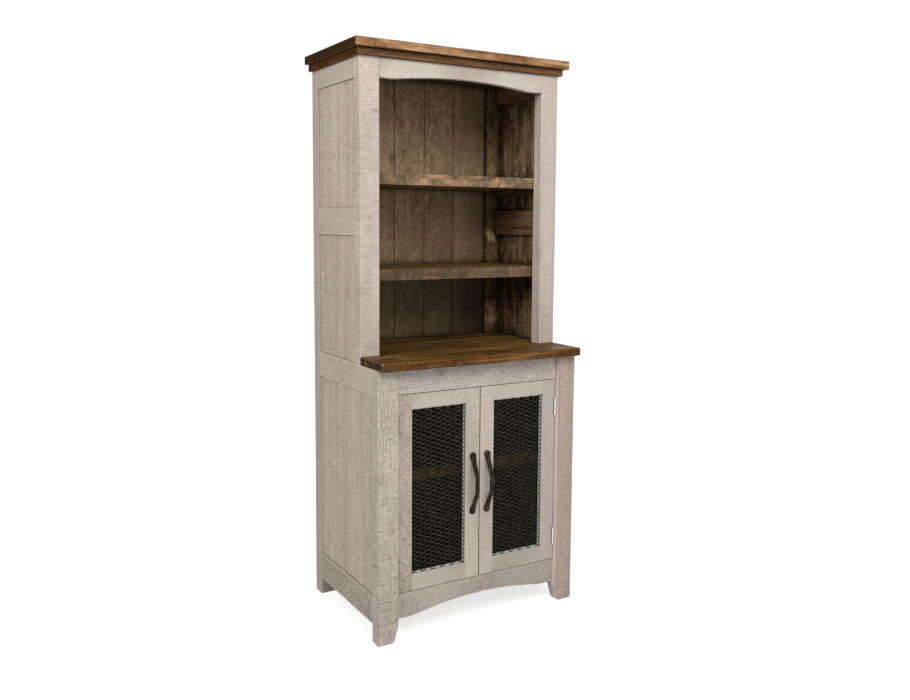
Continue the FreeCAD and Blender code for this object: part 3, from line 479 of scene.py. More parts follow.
def stained_pine(
        name, grain, sheen=0.55, gloss=0.12, depth=0.3, streak=0.0, flaked=0.0, blots=None,
        spacing=saw_spacing, regular=0.3, low_shade=0.0, right_shade=0.0, hollow_reach=8 * mm, scraped=(),
        **mix):
    """Stained timber. streak is how strongly pale and dark streaks show along the grain, flaked how strongly
    the stain has come off in flakes, blots the scale of its blotches, and the low and right shares how much
    darker it is painted down at the counter and over at the right, as painted shade. scraped lists the
    heights between which it has been scraped nearly bare."""
    material, tree, shader = new_material(name)
    turned, values = surface(tree, grain, stain_wear_and_shade, hollow_reach, Spacing=spacing, Regular=regular)
    broad = noise(tree, stretched(tree, turned, 45.0, 45.0, 2.2), 1.0, 4.0, 0.65)
    fine = noise(tree, stretched(tree, turned, 150.0, 150.0, 5.0), 1.0, 3.0, 0.6)
    ends = spread(tree, noise(tree, stretched(tree, turned, 9.0, 9.0, 5.0), 1.0, 2.0), 0.4, 0.55, 0.25, 1.0)
    pale = sums(tree, "MAXIMUM", spread(tree, broad, 0.52, 0.64), spread(tree, fine, 0.55, 0.66, 0.0, 0.8))
    pale = times(tree, times(tree, pale, ends), streak)
    dark = sums(tree, "MAXIMUM", spread(tree, broad, 0.45, 0.32), spread(tree, fine, 0.42, 0.32, 0.0, 0.8))
    dark = times(tree, dark, streak)
    if flaked:
        flakes = noise(tree, stretched(tree, turned, 34.0, 34.0, 13.0), 1.0, 6.0, 0.75)
        pale = sums(tree, "MAXIMUM", pale, spread(tree, flakes, 0.54, 0.6, 0.0, flaked))
        dark = sums(tree, "MAXIMUM", dark, spread(tree, flakes, 0.45, 0.39, 0.0, flaked))
    if blots:
        values["Blotch"] = noise(tree, stretched(tree, turned, 1.0, 1.0, 0.6), blots, 3.0, 0.6)
    own = add(tree, "TexCoord").outputs["Object"]
    axes = add(tree, "SeparateXYZ", {0: own}).outputs
    torn = spread(tree, noise(tree, stretched(tree, turned, 60.0, 60.0, 20.0), 1.0, 4.0, 0.65), 0.43, 0.52)
    for low, high in scraped:
        above = spread(tree, axes["Z"], low - scrape_fade, low + scrape_fade)
        below = spread(tree, axes["Z"], high + scrape_fade, high - scrape_fade)
        pale = sums(tree, "MAXIMUM", pale, times(tree, torn, times(tree, above, below)))
    values["Streak"] = pale
    normal = add(tree, "NewGeometry").outputs["True Normal"]
    faced = {0: normal, 1: grain_axes[grain]}
    along = add(tree, "VectorMath", faced, operation="DOT_PRODUCT").outputs["Value"]
    values["End grain"] = spread(tree, sums(tree, "ABSOLUTE", along), 0.6, 0.9)
    values.update({"Mark depth": depth, "Sheen": sheen})
    # Painted shade: darker low down and over at the right, broken into clouds.
    cloudy = spread(tree, noise(tree, own, 7.0, 4.0, 0.6), 0.35, 0.6, 0.35, 1.0)
    right = times(tree, spread(tree, axes["X"], *shade_across, 0.0, right_shade), cloudy)
    painted_shade = sums(tree, "ADD", spread(tree, axes["Z"], *shade_heights, 0.0, low_shade), right)
    values["Streaks and shade"] = sums(tree, "MAXIMUM", painted_shade, dark)
    finish_coat(tree, shader, stain, values, mix, gloss)
    return material


# The posts' finishes: each front post has its own paint and saw marks, and the lower two are painted
# paler on the side towards the doors, as a painted highlight. The rear posts are stained inside, where the
# right one has been scraped.
scraped_heights = ((0.965, 1.05), (1.29, 1.33))
# The rear posts' paint lays a wide pale band along each arris, a painted highlight, and every post's paint
# darkens in its hollows as painted shade.
paint_upright = painted_pine("paint_upright", "z", ruled=0.5, bands=40.0, arris_reach=10 * mm, Grime=0.35)
paint_lined = painted_pine(
    "paint_lined", "z", depth=0.44, ruled=0.4, regular=0.6, Grime=0.4, Paint=ink(209, 195, 183),
    Shade=ink(183, 170, 158), Rubbed=ink(232, 222, 210))
paint_ruled = painted_pine(
    "paint_ruled", "z", depth=0.48, ruled=1.0, spacing=6.5 * mm, regular=0.6, speckle=140.0, Patchy=0.5,
    Grime=0.4, Paint=ink(206, 193, 182), Rubbed=ink(234, 224, 213))
paint_even = painted_pine(
    "paint_even", "z", depth=0.28, ruled=0.6, regular=0.4, bands=40.0, Patchy=0.15, Grime=0.4,
    Paint=ink(208, 194, 182), Shade=ink(186, 173, 162), Rubbed=ink(230, 220, 209))
paint_pink = painted_pine(
    "paint_pink", "z", depth=0.3, ruled=0.5, bands=30.0, Patchy=0.15, Grime=0.1, Paint=ink(192, 173, 157),
    Shade=ink(163, 148, 137), Rubbed=ink(214, 202, 190))
# The inside stains are darkened as painted shade in their corners, far out from them, and low down at the
# counter.
inside_upright = stained_pine(
    "inside_upright", "z", sheen=0.6, streak=0.8, flaked=0.85, depth=0.25, low_shade=0.12, Patchy=0.4,
    hollow_reach=50 * mm, Light=ink(146, 116, 84), Dark=ink(84, 63, 41), Deep=ink(30, 21, 11),
    Rubbed=ink(190, 166, 130))
scraped_upright = stained_pine(
    "scraped_upright", "z", sheen=0.6, streak=0.35, flaked=0.3, depth=0.25, low_shade=0.12, Patchy=0.2,
    hollow_reach=30 * mm, scraped=scraped_heights,
    Light=ink(144, 114, 80), Dark=ink(82, 62, 40), Deep=ink(30, 21, 11), Rubbed=ink(232, 206, 156))
# A lighter copy of the paint for the posts' faces towards the doors: painted light.
paint_lit_side = painted_pine(
    "paint_lit_side", "z", depth=0.1, Patchy=0.1, Grime=0.0, Paint=ink(232, 218, 210), Shade=ink(213, 199, 192))
front_paints = {"left": (-1, paint_ruled, paint_lined), "right": (1, paint_pink, paint_even)}
for side, (outward, base_paint, hutch_paint) in front_paints.items():
    dress(
        "base_front_post_" + side, [base_paint, paint_lit_side], post_arris,
        look_of=lambda face: outward * face.normal.x < -square_on)
    dress("hutch_front_post_" + side, [hutch_paint], post_arris)

# A rear post and the side frames are painted outside and on the feet, and stained on all that lies inside
# the line of the panels. Behind, and inside the cupboard, the stain has lasted better.
# This stain too is darkened far out from its corners, as painted shade.
inside_plain = stained_pine(
    "inside_plain", "z", sheen=0.65, streak=0.45, flaked=0.25, depth=0.2, Patchy=0.25, hollow_reach=30 * mm,
    Light=ink(122, 98, 68), Dark=ink(78, 60, 40), Deep=ink(36, 27, 15), Rubbed=ink(156, 132, 98))
foot_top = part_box("base_bottom_board")[0].z
counter_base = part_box("counter_top")[0].z
panel_low, panel_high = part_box("base_side_panel_right")
panel_line = (panel_low.x + panel_high.x) / 2


def scribe(work, place, square_to, trim=False):
    """Cuts a line round the piece, so that the finish can change there, or trims off what lies past it."""
    everything = list(work.verts) + list(work.edges) + list(work.faces)
    bmesh.ops.bisect_plane(work, geom=everything, plane_co=place, plane_no=square_to, clear_outer=trim)


def dress_side(node, materials, arris):
    """A timber of the side frame, stained inside the panel line and above the feet. A third look is for what
    lies behind or under the counter."""
    work = sawn_copy(node)
    ease_arrises(work, arris)
    outward = 1 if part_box(node)[0].x > 0 else -1
    scribe(work, (outward * panel_line, 0, 0), (1, 0, 0))
    for level in (foot_top, counter_base):
        scribe(work, (0, 0, level), (0, 0, 1))
    number_boards(work, node)
    last_look = len(materials) - 1
    for face in work.faces:
        centre = face.calc_center_median()
        if centre.z > foot_top and outward * centre.x < panel_line - weld_distance:
            hidden = face.normal.y > half_on or centre.z < counter_base
            face.material_index = last_look if hidden else 1
    set_in_place(work, node + "_dressed", body_of[node], materials, [node])


for side, inside in (("left", inside_upright), ("right", scraped_upright)):
    dress_side("rear_post_" + side, [paint_upright, inside, inside_plain], post_arris)

# The side frames: four rails on each side, tenoned into the posts, and three panels of glued-up boards held
# in their grooves.
rail_arris = 1.2 * mm
panel_arris = 0.8 * mm
# The rails' paints lay a pale band along each arris as a painted highlight, and the bottom rails' paint is
# darker, as painted shade near the floor.
paint_deep = painted_pine(
    "paint_deep", "y", depth=0.26, ruled=0.5, arris_reach=12 * mm, Patchy=0.2, Grime=0.25,
    Paint=ink(205, 191, 176), Shade=ink(181, 168, 153), Rubbed=ink(244, 236, 226))
paint_low_shaded = painted_pine(
    "paint_low_shaded", "y", depth=0.34, arris_reach=16 * mm, speckle=110.0, Patchy=0.4, Grime=0.25,
    Paint=ink(180, 167, 151), Shade=ink(148, 135, 119), Rubbed=ink(244, 236, 225))
# The panels' edges in their grooves are darkened strongly, as painted shade.
paint_panel = painted_pine(
    "paint_panel", "z", depth=0.38, ruled=0.8, regular=0.2, bands=38.0, Patchy=0.3, Grime=0.9,
    Paint=ink(211, 198, 182), Shade=ink(176, 160, 146), Rubbed=ink(228, 216, 202))
# Inside, the hollows are darkened far out as painted shade, and more so low down.
inside_deep = stained_pine(
    "inside_deep", "y", sheen=0.6, streak=0.6, flaked=0.3, low_shade=0.1, hollow_reach=30 * mm,
    Light=ink(158, 120, 84), Dark=ink(98, 71, 47), Deep=ink(32, 22, 12), Rubbed=ink(178, 147, 112))

for side in ("left", "right"):
    for level in ("bottom", "middle", "upper", "top"):
        look = paint_low_shaded if level == "bottom" else paint_deep
        dress_side("side_" + level + "_rail_" + side, [look, inside_deep], rail_arris)
    for panel in ("base_side_panel_", "hutch_lower_panel_", "hutch_upper_panel_"):
        dress_side(panel + side, [paint_panel, inside_upright, inside_plain], panel_arris)

# The front rails: a straight one under the counter, an arched apron under the doors and an arched rail under
# the crown. Painted pine with the grain along them.
paint_across = painted_pine("paint_across", "x", depth=0.16, Patchy=0.2, Paint=ink(206, 195, 184))
paint_apron = painted_pine(
    "paint_apron", "x", depth=0.32, ruled=0.3, Patchy=0.4, Paint=ink(194, 182, 170), Shade=ink(164, 152, 140))
paint_rough = painted_pine(
    "paint_rough", "x", depth=0.4, ruled=1.0, speckle=150.0, Patchy=0.75, Paint=ink(208, 197, 186),
    Shade=ink(180, 169, 159), Rubbed=ink(230, 221, 210))
dress("base_top_rail", [paint_rough], rail_arris)
dress("apron_rail", [paint_apron], rail_arris)
dress("hutch_arch_rail", [paint_across], rail_arris)

# The back: three rails behind, a thin plywood sheet over the cupboard, and tongued and grooved boards with
# V edges behind the hutch, stained before they went in.
board_arris = 0.5 * mm
back_across = stained_pine("back_across", "x", Light=ink(125, 103, 80), Dark=ink(80, 62, 45), sheen=0.65)
# The boards behind the hutch are painted darker low down and over at the right, and far out from their
# corners, as painted shade.
back_upright = stained_pine(
    "back_upright", "z", sheen=0.6, depth=0.2, streak=0.3, flaked=0.4, low_shade=0.58, right_shade=0.24,
    hollow_reach=35 * mm, Ring_depth=0.08, Patchy=0.5, Knotty=0.25,
    Light=ink(184, 155, 120), Dark=ink(126, 101, 72), Deep=ink(30, 22, 7), Rubbed=ink(204, 181, 148))
board_backs = stained_pine(
    "board_backs", "z", sheen=0.65, depth=0.2, streak=0.2, flaked=0.1, Knotty=0.5,
    Light=ink(162, 134, 102), Dark=ink(112, 88, 62), Deep=ink(52, 39, 25), Rubbed=ink(186, 162, 130))
for level in ("bottom", "middle", "top"):
    dress("back_" + level + "_rail", [back_across], rail_arris)
seam_arris = 1.2 * mm
dress(
    "hutch_back_boards", [back_upright, board_backs], seam_arris,
    look_of=lambda face: face.normal.y > half_on)
plywood = stained_pine(
    "plywood", "x", sheen=0.7, depth=0.1, Knotty=0.4, Light=ink(196, 168, 130), Dark=ink(170, 140, 102))
plywood_stained = stained_pine(
    "plywood_stained", "x", sheen=0.6, depth=0.1, Knotty=0.5, Patchy=0.08, Light=ink(90, 71, 46),
    Dark=ink(60, 46, 28), Deep=ink(28, 21, 11))
dress(
    "base_back_sheet", [plywood, plywood_stained], None,
    look_of=lambda face: face.normal.y < -half_on)

# The counter: glued-up pine boards that run across, notched round the hutch posts, with a rubbed satin
# stain and its front edge eased.
counter_arris = 2.0 * mm
# The counter's stain is darkened far out from the hutch and its corners, as painted shade.
counter_stain = stained_pine(
    "counter_stain", "x", sheen=0.46, gloss=0.04, depth=0.12, streak=1.0, hollow_reach=50 * mm,
    Light=ink(103, 73, 35), Dark=ink(61, 43, 17), Deep=ink(26, 19, 6), Rubbed=ink(160, 122, 66))
counter_edge = stained_pine(
    "counter_edge", "x", sheen=0.5, gloss=0.08, depth=0.15, streak=0.5, blots=22.0, Patchy=0.3, Worn=0.8,
    Light=ink(100, 64, 27), Dark=ink(66, 41, 14), Deep=ink(32, 20, 6), Rubbed=ink(174, 126, 76))
counter_end = stained_pine(
    "counter_end", "x", sheen=0.8, gloss=0.03, depth=0.2, flaked=0.8, Patchy=0.6,
    Light=ink(112, 86, 56), Dark=ink(70, 50, 30), Deep=ink(36, 25, 13), Rubbed=ink(206, 184, 150))


def face_edge_or_end(face):
    """A board's three looks in turn: its faces, its front edge and its end grain."""
    if abs(face.normal.z) >= square_on:
        return 0
    return 2 if abs(face.normal.x) > abs(face.normal.y) else 1


dress(
    "counter_top", [counter_stain, counter_edge, counter_end], counter_arris,
    look_of=face_edge_or_end)

# The crown: a narrow pine board laid on the frame and a wider one over it, both stained. The front edges are
# rubbed paler than the faces, and the upper board's end grain is darker.
crown_arris = 1.5 * mm
crown_faces = stained_pine(
    "crown_faces", "x", sheen=0.5, depth=0.12, gloss=0.2,
    Light=ink(104, 72, 42), Dark=ink(64, 43, 24), Deep=ink(34, 22, 11), Rubbed=ink(132, 98, 62))
crown_top_edge = stained_pine(
    "crown_top_edge", "x", sheen=0.5, depth=0.2, streak=0.5, flaked=0.2, blots=16.0, Patchy=0.3,
    Blotchy=0.9, Worn=0.35,
    Light=ink(187, 139, 95), Dark=ink(118, 81, 49), Deep=ink(42, 28, 12), Rubbed=ink(218, 180, 138))
crown_end = stained_pine(
    "crown_end", "x", sheen=0.8, gloss=0.03, depth=0.2, flaked=0.5, Patchy=0.4,
    Light=ink(88, 59, 27), Dark=ink(60, 38, 15), Deep=ink(40, 25, 9), Rubbed=ink(124, 92, 52))
# The lower board's front edge is darker than the upper's, partly as painted shade under the upper board.
crown_under_edge = stained_pine(
    "crown_under_edge", "x", sheen=0.55, depth=0.15, streak=0.3, Patchy=0.35, Blotchy=0.6,
    Light=ink(138, 96, 58), Dark=ink(84, 55, 30), Deep=ink(40, 27, 13), Rubbed=ink(168, 128, 86))
crown_under_end = stained_pine(
    "crown_under_end", "x", sheen=0.8, gloss=0.03, depth=0.2, blots=26.0, Patchy=0.4, Blotchy=1.0,
    Light=ink(146, 94, 44), Dark=ink(76, 48, 18), Deep=ink(66, 41, 15), Rubbed=ink(156, 110, 62))
crown_looks = {
    "crown_under_board": [crown_faces, crown_under_edge, crown_under_end],
    "crown_top_board": [crown_faces, crown_top_edge, crown_end],
}
for board, looks in crown_looks.items():
    dress(board, looks, crown_arris, look_of=face_edge_or_end)

# The two hutch shelves: thick sawn pine boards, stained, with a paler rubbed front edge. They are notched
# round the rear posts and lie on cleats.
shelf_arris = 1.6 * mm
# The shelf stain is darkened far out from its corners, as painted shade.
shelf_stain = stained_pine(
    "shelf_stain", "x", sheen=0.5, gloss=0.1, depth=0.15, streak=0.7, hollow_reach=50 * mm,
    Light=ink(114, 85, 42), Dark=ink(68, 49, 21), Deep=ink(30, 21, 7), Rubbed=ink(142, 112, 66))
shelf_edges = {
    "upper": stained_pine(
        "upper_shelf_edge", "x", sheen=0.6, depth=0.45, spacing=6 * mm, regular=0.8, streak=0.2, flaked=0.12,
        blots=22.0, Patchy=0.25, Blotchy=1.5, Worn=0.6,
        Light=ink(190, 149, 113), Dark=ink(98, 81, 59), Deep=ink(58, 45, 30), Rubbed=ink(212, 178, 148)),
    "lower": stained_pine(
        "lower_shelf_edge", "x", sheen=0.6, depth=0.4, spacing=7 * mm, regular=0.6, flaked=0.1, blots=20.0,
        Patchy=0.25, Blotchy=1.2,
        Light=ink(130, 104, 80), Dark=ink(84, 67, 49), Deep=ink(42, 32, 20), Rubbed=ink(158, 132, 104)),
}
for level, edge in shelf_edges.items():
    dress(
        "hutch_shelf_" + level, [shelf_stain, edge, edge], shelf_arris,
        look_of=face_edge_or_end)

# Inside the cupboard: the floor board and one shelf, of stained pine with a paler front edge to the shelf,
# and the cleats inside the side frames that carry the shelves and the floor board.
inner_across = stained_pine(
    "inner_across", "x", sheen=0.65, streak=0.4, Light=ink(112, 90, 62), Dark=ink(72, 55, 37))
inner_deep = stained_pine(
    "inner_deep", "y", sheen=0.65, streak=0.3, Light=ink(100, 80, 56), Dark=ink(60, 46, 31))
inner_edge = stained_pine(
    "inner_edge", "x", sheen=0.65, blots=20.0, Light=ink(158, 134, 98), Dark=ink(116, 96, 68))
dress(
    "base_shelf", [inner_across, inner_edge, inner_across], rail_arris,
    look_of=face_edge_or_end)
dress("base_bottom_board", [inner_across], rail_arris)
dress("shelf_cleats", [inner_deep], board_arris)

# The doors: two stiles and two rails mortised together, rabbeted behind for the glass, and the beads that
# hold it. Painted like the frame, with the saw's marks slanting on the stiles.
door_arris = 1.2 * mm
bead_arris = 0.5 * mm
# The door paints darken strongly in the gaps and rabbets, as painted shade.
paint_slanted = painted_pine(
    "paint_slanted", "z", spacing=11 * mm, slope=0.6, depth=0.36, regular=1.0, Patchy=0.2, Grime=0.9,
    Paint=ink(208, 197, 184), Shade=ink(182, 171, 158))
paint_faint = painted_pine(
    "paint_faint", "z", spacing=11 * mm, slope=0.6, depth=0.16, regular=0.45, Patchy=0.15, Grime=0.9,
    Paint=ink(210, 198, 187), Shade=ink(184, 172, 162))
# The left hinge stile is painted darker and glazed olive far out from the post, as painted shade from the
# post beside it.
paint_scored = painted_pine(
    "paint_scored", "z", spacing=14 * mm, slope=1.0, depth=0.48, regular=0.7, Patchy=0.6, Grime=0.5,
    hollow_reach=16 * mm, Paint=ink(195, 183, 168), Shade=ink(162, 149, 133), Glaze=ink(104, 90, 64))
paint_door_rail = painted_pine(
    "paint_door_rail", "x", depth=0.14, ruled=0.3, Patchy=0.15, Grime=0.8, Paint=ink(206, 196, 184))
paint_smooth = painted_pine(
    "paint_smooth", "z", depth=0.14, bands=30.0, Patchy=0.1, Grime=0.9, Paint=ink(198, 189, 180),
    Shade=ink(176, 167, 158))
# The beads are painted near white so they show as lit dashes behind the guard, a painted highlight, with
# near-black painted shade in their hollows.
bead_paint = painted_pine(
    "bead_paint", "z", depth=0.05, Patchy=0.05, Grime=0.95, hollow_reach=4 * mm, Paint=ink(250, 250, 246),
    Shade=ink(238, 238, 232), Glaze=ink(52, 50, 36))
bead_stands_in = 3.5 * mm
glass_front, glass_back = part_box("door_glass_left")
glass_middle = (glass_front.y + glass_back.y) / 2


def front_bead_stands_in(work):
    """Widens the bead before the glass, so that it stands a little into the opening behind the guard."""
    low = Vector([min(vert.co[axis] for vert in work.verts) for axis in range(3)])
    high = Vector([max(vert.co[axis] for vert in work.verts) for axis in range(3)])
    middle, half = (low + high) / 2, (high - low) / 2
    for vert in work.verts:
        if vert.co.y > glass_middle:
            continue
        for axis in (0, 2):
            away = vert.co[axis] - middle[axis]
            if abs(away) < half[axis] - mm:
                vert.co[axis] -= math.copysign(bead_stands_in, away)


stile_looks = {
    "left": {"hinge": paint_scored, "meeting": paint_slanted},
    "right": {"hinge": paint_smooth, "meeting": paint_faint},
}
for side, stiles in stile_looks.items():
    for stile, look in stiles.items():
        dress("door_" + stile + "_stile_" + side, [look], door_arris)
    for level in ("top", "bottom"):
        dress("door_" + level + "_rail_" + side, [paint_door_rail], door_arris)
    dress(
        "glazing_beads_" + side, [bead_paint, paint_smooth], bead_arris,
        look_of=lambda face: face.calc_center_median().y > glass_middle, shape=front_bead_stands_in)

# The guard in each door: expanded steel, slit and pulled open into flat diamonds, its strands turned a
# little by the pull, cut to the rabbet and left bare.
diamond_wide = 37 * mm
diamond_high = 14.7 * mm
strand_wide = 1.9 * mm
strand_thick = 0.8 * mm
strand_turn = 0.7 * mm


def guard(side):
    """A flat net of diamonds, its strands turned about their middles, then trimmed and thickened."""
    low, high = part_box("door_mesh_" + side)
    middle = (low + high) / 2
    half_wide = (high.x - low.x) / 2
    half_high = (high.z - low.z) / 2
    reach = math.ceil(half_wide / diamond_wide + half_high / diamond_high) + 1
    work = bmesh.new()
    bmesh.ops.create_grid(work, x_segments=2 * reach, y_segments=2 * reach, size=reach)
    slant = Matrix((
        (diamond_wide / 2, diamond_wide / 2, 0, 0),
        (0, 0, 1, 0),
        (diamond_high / 2, -diamond_high / 2, 0, 0),
        (0, 0, 0, 1),
    ))
    bmesh.ops.transform(work, matrix=slant, verts=work.verts)
    spare = []
    for cell in work.faces:
        centre = cell.calc_center_median()
        if abs(centre.x) > half_wide + diamond_wide or abs(centre.z) > half_high + diamond_high:
            spare.append(cell)
    bmesh.ops.delete(work, geom=spare, context="FACES")
    cells = list(work.faces)
    middles = {cell: cell.calc_center_median().z for cell in cells}
    bmesh.ops.inset_individual(work, faces=cells, thickness=strand_wide / 2, use_even_offset=True)
    for cell in cells:
        for vert in cell.verts:
            lift = (vert.co.z - middles[cell]) / (diamond_high / 2)
            vert.co.y += strand_turn * lift
    bmesh.ops.delete(work, geom=cells, context="FACES")
    for x, z in ((1, 0), (-1, 0), (0, 1), (0, -1)):
        scribe(work, (x * half_wide, 0, z * half_high), (x, 0, z), trim=True)
    bmesh.ops.recalc_face_normals(work, faces=work.faces)
    bmesh.ops.solidify(work, geom=list(work.faces), thickness=strand_thick)
    bmesh.ops.translate(work, vec=middle, verts=work.verts)
    return work


def mottled(
        name, inks, rough, scale, detail, raggedness=0.5, sharp=None, stretch=None, hollow_shade=None,
        dent_depth=None, **plain):
    """Metal, glass or plastic in two inks that drift into each other. rough is its least and most roughness,
    sharp where one ink gives way to the other, and the pair for its hollows the reach and the ink of the
    painted shade there.
    plain holds what is the same all over, by the shader's names with _ for each space."""
    material, tree, shader = new_material(name)
    own = add(tree, "TexCoord").outputs["Object"]
    figure = noise(tree, stretched(tree, own, *stretch) if stretch else own, scale, detail, raggedness)
    tone = mixed(tree, spread(tree, figure, *sharp) if sharp else figure, *inks)
    if hollow_shade:
        reach, shade_ink = hollow_shade
        hollow = use_group(tree, wear_and_shade, {"Vector": own, "Depth": reach})["Hollow"]
        tone = mixed(tree, hollow, tone, shade_ink)
    tree.links.new(tone, shader["Base Color"])
    tree.links.new(spread(tree, figure, 0.3, 0.7, *rough), shader["Roughness"])
    if dent_depth:
        dents = noise(tree, own, 120.0, 2.0)
        bump = add(tree, "Bump", {"Height": dents, "Distance": dent_depth, "Strength": 0.6})
        tree.links.new(bump.outputs[0], shader["Normal"])
    for label, value in plain.items():
        shader[label.replace("_", " ")].default_value = value
    return material


mesh_steel = mottled(
    "mesh_steel", (ink(75, 75, 54), ink(33, 34, 21)), (0.45, 0.6), 160.0, 3.0, sharp=(0.35, 0.65),
    Metallic=0.5, Specular_IOR_Level=0.15)
for side in ("left", "right"):
    node = "door_mesh_" + side
    set_in_place(guard(side), node + "_diamonds", body_of[node], [mesh_steel], [node])

# The panes: one sheet of grey-tinted glass in each door, a little smeared, its tint darkening the cupboard
# behind as painted shade. It lies in the rabbet behind the guard, between the front and the rear bead.
pane_arris = 0.3 * mm
pane_glass = mottled(
    "pane_glass", (ink(154, 149, 134), ink(143, 138, 123)), (0.01, 0.04), 18.0, 3.0,
    Transmission_Weight=1.0, IOR=1.12)
for side in ("left", "right"):
    dress("door_glass_" + side, [pane_glass], pane_arris)

# The pulls: forged bows of blackened iron, dented by the hammer, with painted shade in their hollows and
# round the rivets. Each is fixed by a rivet through either foot.
pull_round = 1.6 * mm
foot_thick = 5 * mm
rivet_inset = 10 * mm
rivet_radius = 4 * mm
rivet_rise = 2 * mm
# The iron is darkened in its hollows and round the rivets, as painted shade.
dark_iron = mottled(
    "dark_iron", (ink(32, 27, 18), ink(66, 60, 45)), (0.38, 0.58), 45.0, 4.0, raggedness=0.6,
    sharp=(0.4, 0.68), hollow_shade=(5 * mm, ink(16, 12, 7)), dent_depth=0.8 * mm, Metallic=1.0)
for side in ("left", "right"):
    node = "door_handle_" + side
    work = sawn_copy(node)
    ease_arrises(work, pull_round, 3)
    number_boards(work, node)
    set_in_place(work, node + "_forged", body_of[node], [dark_iron], [node], smooth=True)
    low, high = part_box(node)
    work = bmesh.new()
    for level in (low.z + rivet_inset, high.z - rivet_inset):
        head = bmesh.ops.create_uvsphere(work, u_segments=16, v_segments=8, radius=rivet_radius)["verts"]
        bmesh.ops.scale(work, vec=(1, rivet_rise / rivet_radius, 1), verts=head)
        bmesh.ops.translate(work, vec=((low.x + high.x) / 2, high.y - foot_thick, level), verts=head)
    set_in_place(work, node + "_rivets", body_of[node], [dark_iron], smooth=True)

# The butt hinges: steel leaves let in between stile and post, with their pins and screws. The right pair is
# bright steel with painted shade round the knuckles, and the left pair a darker, duller steel, as painted
# shade from the post.
leaf_arris = 0.3 * mm
leaf_thick = 1.5 * mm
leaf_tall = 62 * mm
screw_radius = 2.6 * mm
screw_taper = 0.94
screw_stands = 0.1 * mm
screw_slot = 0.7 * mm
screw_spread = 20 * mm
screws_from_back = 9 * mm
# The bright steel is darkened round its knuckle and leaf edges, as painted shade.
hinge_steel = mottled(
    "hinge_steel", (ink(240, 237, 230), ink(214, 211, 203)), (0.32, 0.46), 900.0, 2.0,
    stretch=(1.0, 1.0, 0.05), hollow_shade=(6 * mm, ink(84, 74, 60)), Metallic=0.85)
shaded_steel = mottled(
    "shaded_steel", (ink(150, 143, 120), ink(104, 96, 74)), (0.5, 0.65), 90.0, 4.0, raggedness=0.6,
    Metallic=0.5)


def leaf_screws(name, body, steel, leaf_face, hinge_ends, leaf_back, faces_out):
    """Three flush screws with slotted heads in each leaf. faces_out is 1 or -1, the way they face in X."""
    work = bmesh.new()
    for middle in (hinge_ends[0] + leaf_tall / 2, hinge_ends[1] - leaf_tall / 2):
        for level in (middle - screw_spread, middle, middle + screw_spread):
            heads = bmesh.ops.create_cone(
                work, cap_ends=True, segments=16, radius1=screw_radius, radius2=screw_radius * screw_taper,
                depth=2 * screw_stands)["verts"]
            bmesh.ops.rotate(work, verts=heads, matrix=Matrix.Rotation(faces_out * quarter_turn, 3, "Y"))
            bmesh.ops.translate(work, verts=heads, vec=(leaf_face, leaf_back - screws_from_back, level))
            for edge_of_slot in (-1, 1):
                scribe(work, (0, 0, level + edge_of_slot * screw_slot / 2), (0, 0, 1))
            for face in work.faces:
                in_slot = abs(face.calc_center_median().z - level) < screw_slot / 3
                if in_slot and faces_out * face.normal.x > half_on:
                    face.material_index = 1
    set_in_place(work, name, body, [steel, dark_iron])


dress(
    "hinge_frame_leaves", [hinge_steel, shaded_steel], leaf_arris,
    look_of=lambda face: face.calc_center_median().x < 0)
frame_low, frame_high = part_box("hinge_frame_leaves")
for side, outward, steel in (("left", -1, shaded_steel), ("right", 1, hinge_steel)):
    node = "hinge_door_leaves_" + side
    dress(node, [steel], leaf_arris)
    dress("strike_plate_" + side, [hinge_steel], leaf_arris)
    low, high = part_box(node)
    ends, back = (frame_low.z, frame_high.z), high.y
    door_leaf_face = high.x if side == "right" else low.x
    frame_leaf_face = outward * (frame_high.x - leaf_thick)
    leaf_screws("door_leaf_screws_" + side, body_of[node], steel, door_leaf_face, ends, back, outward)
    leaf_screws("frame_leaf_screws_" + side, "cabinet", steel, frame_leaf_face, ends, back, -outward)

# The magnetic catches: small moulded housings of brown plastic, fixed behind the rail over the doors where
# they meet the strike plates.
catch_arris = 0.8 * mm
catch_plastic = mottled(
    "catch_plastic", (ink(120, 90, 62), ink(98, 72, 50)), (0.4, 0.55), 700.0, 2.0)
dress("door_catches", [catch_plastic], catch_arris)

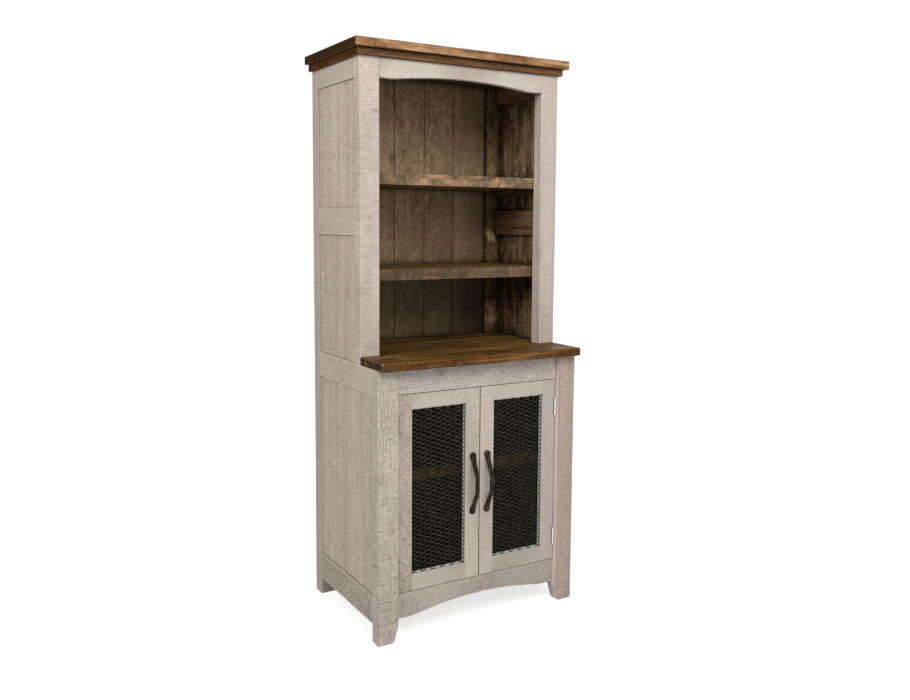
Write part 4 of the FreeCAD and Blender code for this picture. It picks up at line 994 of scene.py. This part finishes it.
# The studio: a pale floor and white surroundings, a broad soft lamp high in front, a weaker one low in front,
# one from the left, and one behind that keeps the back and the right side from going dark.
floor_half = 12.0
white = (1.0, 1.0, 1.0, 1.0)
floor_glow = {"low": 0.4, "high": 2.2, "out_low": 0.72, "out_high": 1.0}
work = bmesh.new()
bmesh.ops.create_grid(work, x_segments=1, y_segments=1, size=floor_half)
floor_mesh = bpy.data.meshes.new("floor")
work.to_mesh(floor_mesh)
work.free()
floor = bpy.data.objects.new("floor", floor_mesh)
bpy.context.scene.collection.objects.link(floor)
floor_paint, tree, shader = new_material("floor_paint")
own = add(tree, "TexCoord").outputs["Object"]
speck = noise(tree, own, 3.0, 3.0)
tree.links.new(mixed(tree, speck, ink(214, 214, 214), ink(208, 208, 208)), shader["Base Color"])
shader["Roughness"].default_value = 0.9
rays = add(tree, "LightPath").outputs
seen = sums(tree, "MAXIMUM", rays["Is Camera Ray"], rays["Is Glossy Ray"])
shader["Emission Color"].default_value = white
away = add(tree, "VectorMath", {0: own}, operation="LENGTH").outputs["Value"]
tree.links.new(times(tree, seen, spread(tree, away, **floor_glow)), shader["Emission Strength"])
floor_mesh.materials.append(floor_paint)

soft_strength = 0.14
world = bpy.data.worlds.new("surroundings")
world.use_nodes = True
bpy.context.scene.world = world
tree = world.node_tree
tree.nodes.clear()
rays = add(tree, "LightPath").outputs
through = sums(tree, "MAXIMUM", rays["Is Glossy Ray"], rays["Is Transmission Ray"])
shown = sums(tree, "MAXIMUM", rays["Is Camera Ray"], through)
dim = add(tree, "Background", {"Color": white, "Strength": soft_strength})
bright = add(tree, "Background", {"Color": white, "Strength": 1.0})
both = add(tree, "MixShader", {0: shown, 1: dim.outputs[0], 2: bright.outputs[0]})
add(tree, "OutputWorld", {"Surface": both.outputs[0]})


def soft_lamp(name, place, aimed_at, size, power):
    """A round lamp that shines on the cabinet's middle plane at the height aimed_at."""
    lamp = bpy.data.lights.new(name, "AREA")
    lamp.shape = "DISK"
    lamp.size = size
    lamp.energy = power
    holder = bpy.data.objects.new(name, lamp)
    bpy.context.scene.collection.objects.link(holder)
    direction = Vector((0, 0, aimed_at)) - Vector(place)
    holder.matrix_world = Matrix.Translation(place) @ direction.to_track_quat("-Z", "Y").to_matrix().to_4x4()
    return holder


soft_lamp("key_lamp", (-0.6, -3.1, 3.5), aimed_at=1.0, size=2.2, power=84)
soft_lamp("low_lamp", (1.2, -4.2, 1.9), aimed_at=1.2, size=2.4, power=34)
soft_lamp("left_lamp", (-3.4, -1.2, 2.9), aimed_at=1.0, size=2.0, power=76)
back_lamp = soft_lamp("back_lamp", (2.6, 3.2, 2.6), aimed_at=1.0, size=2.4, power=70)
back_lamp.visible_glossy = False
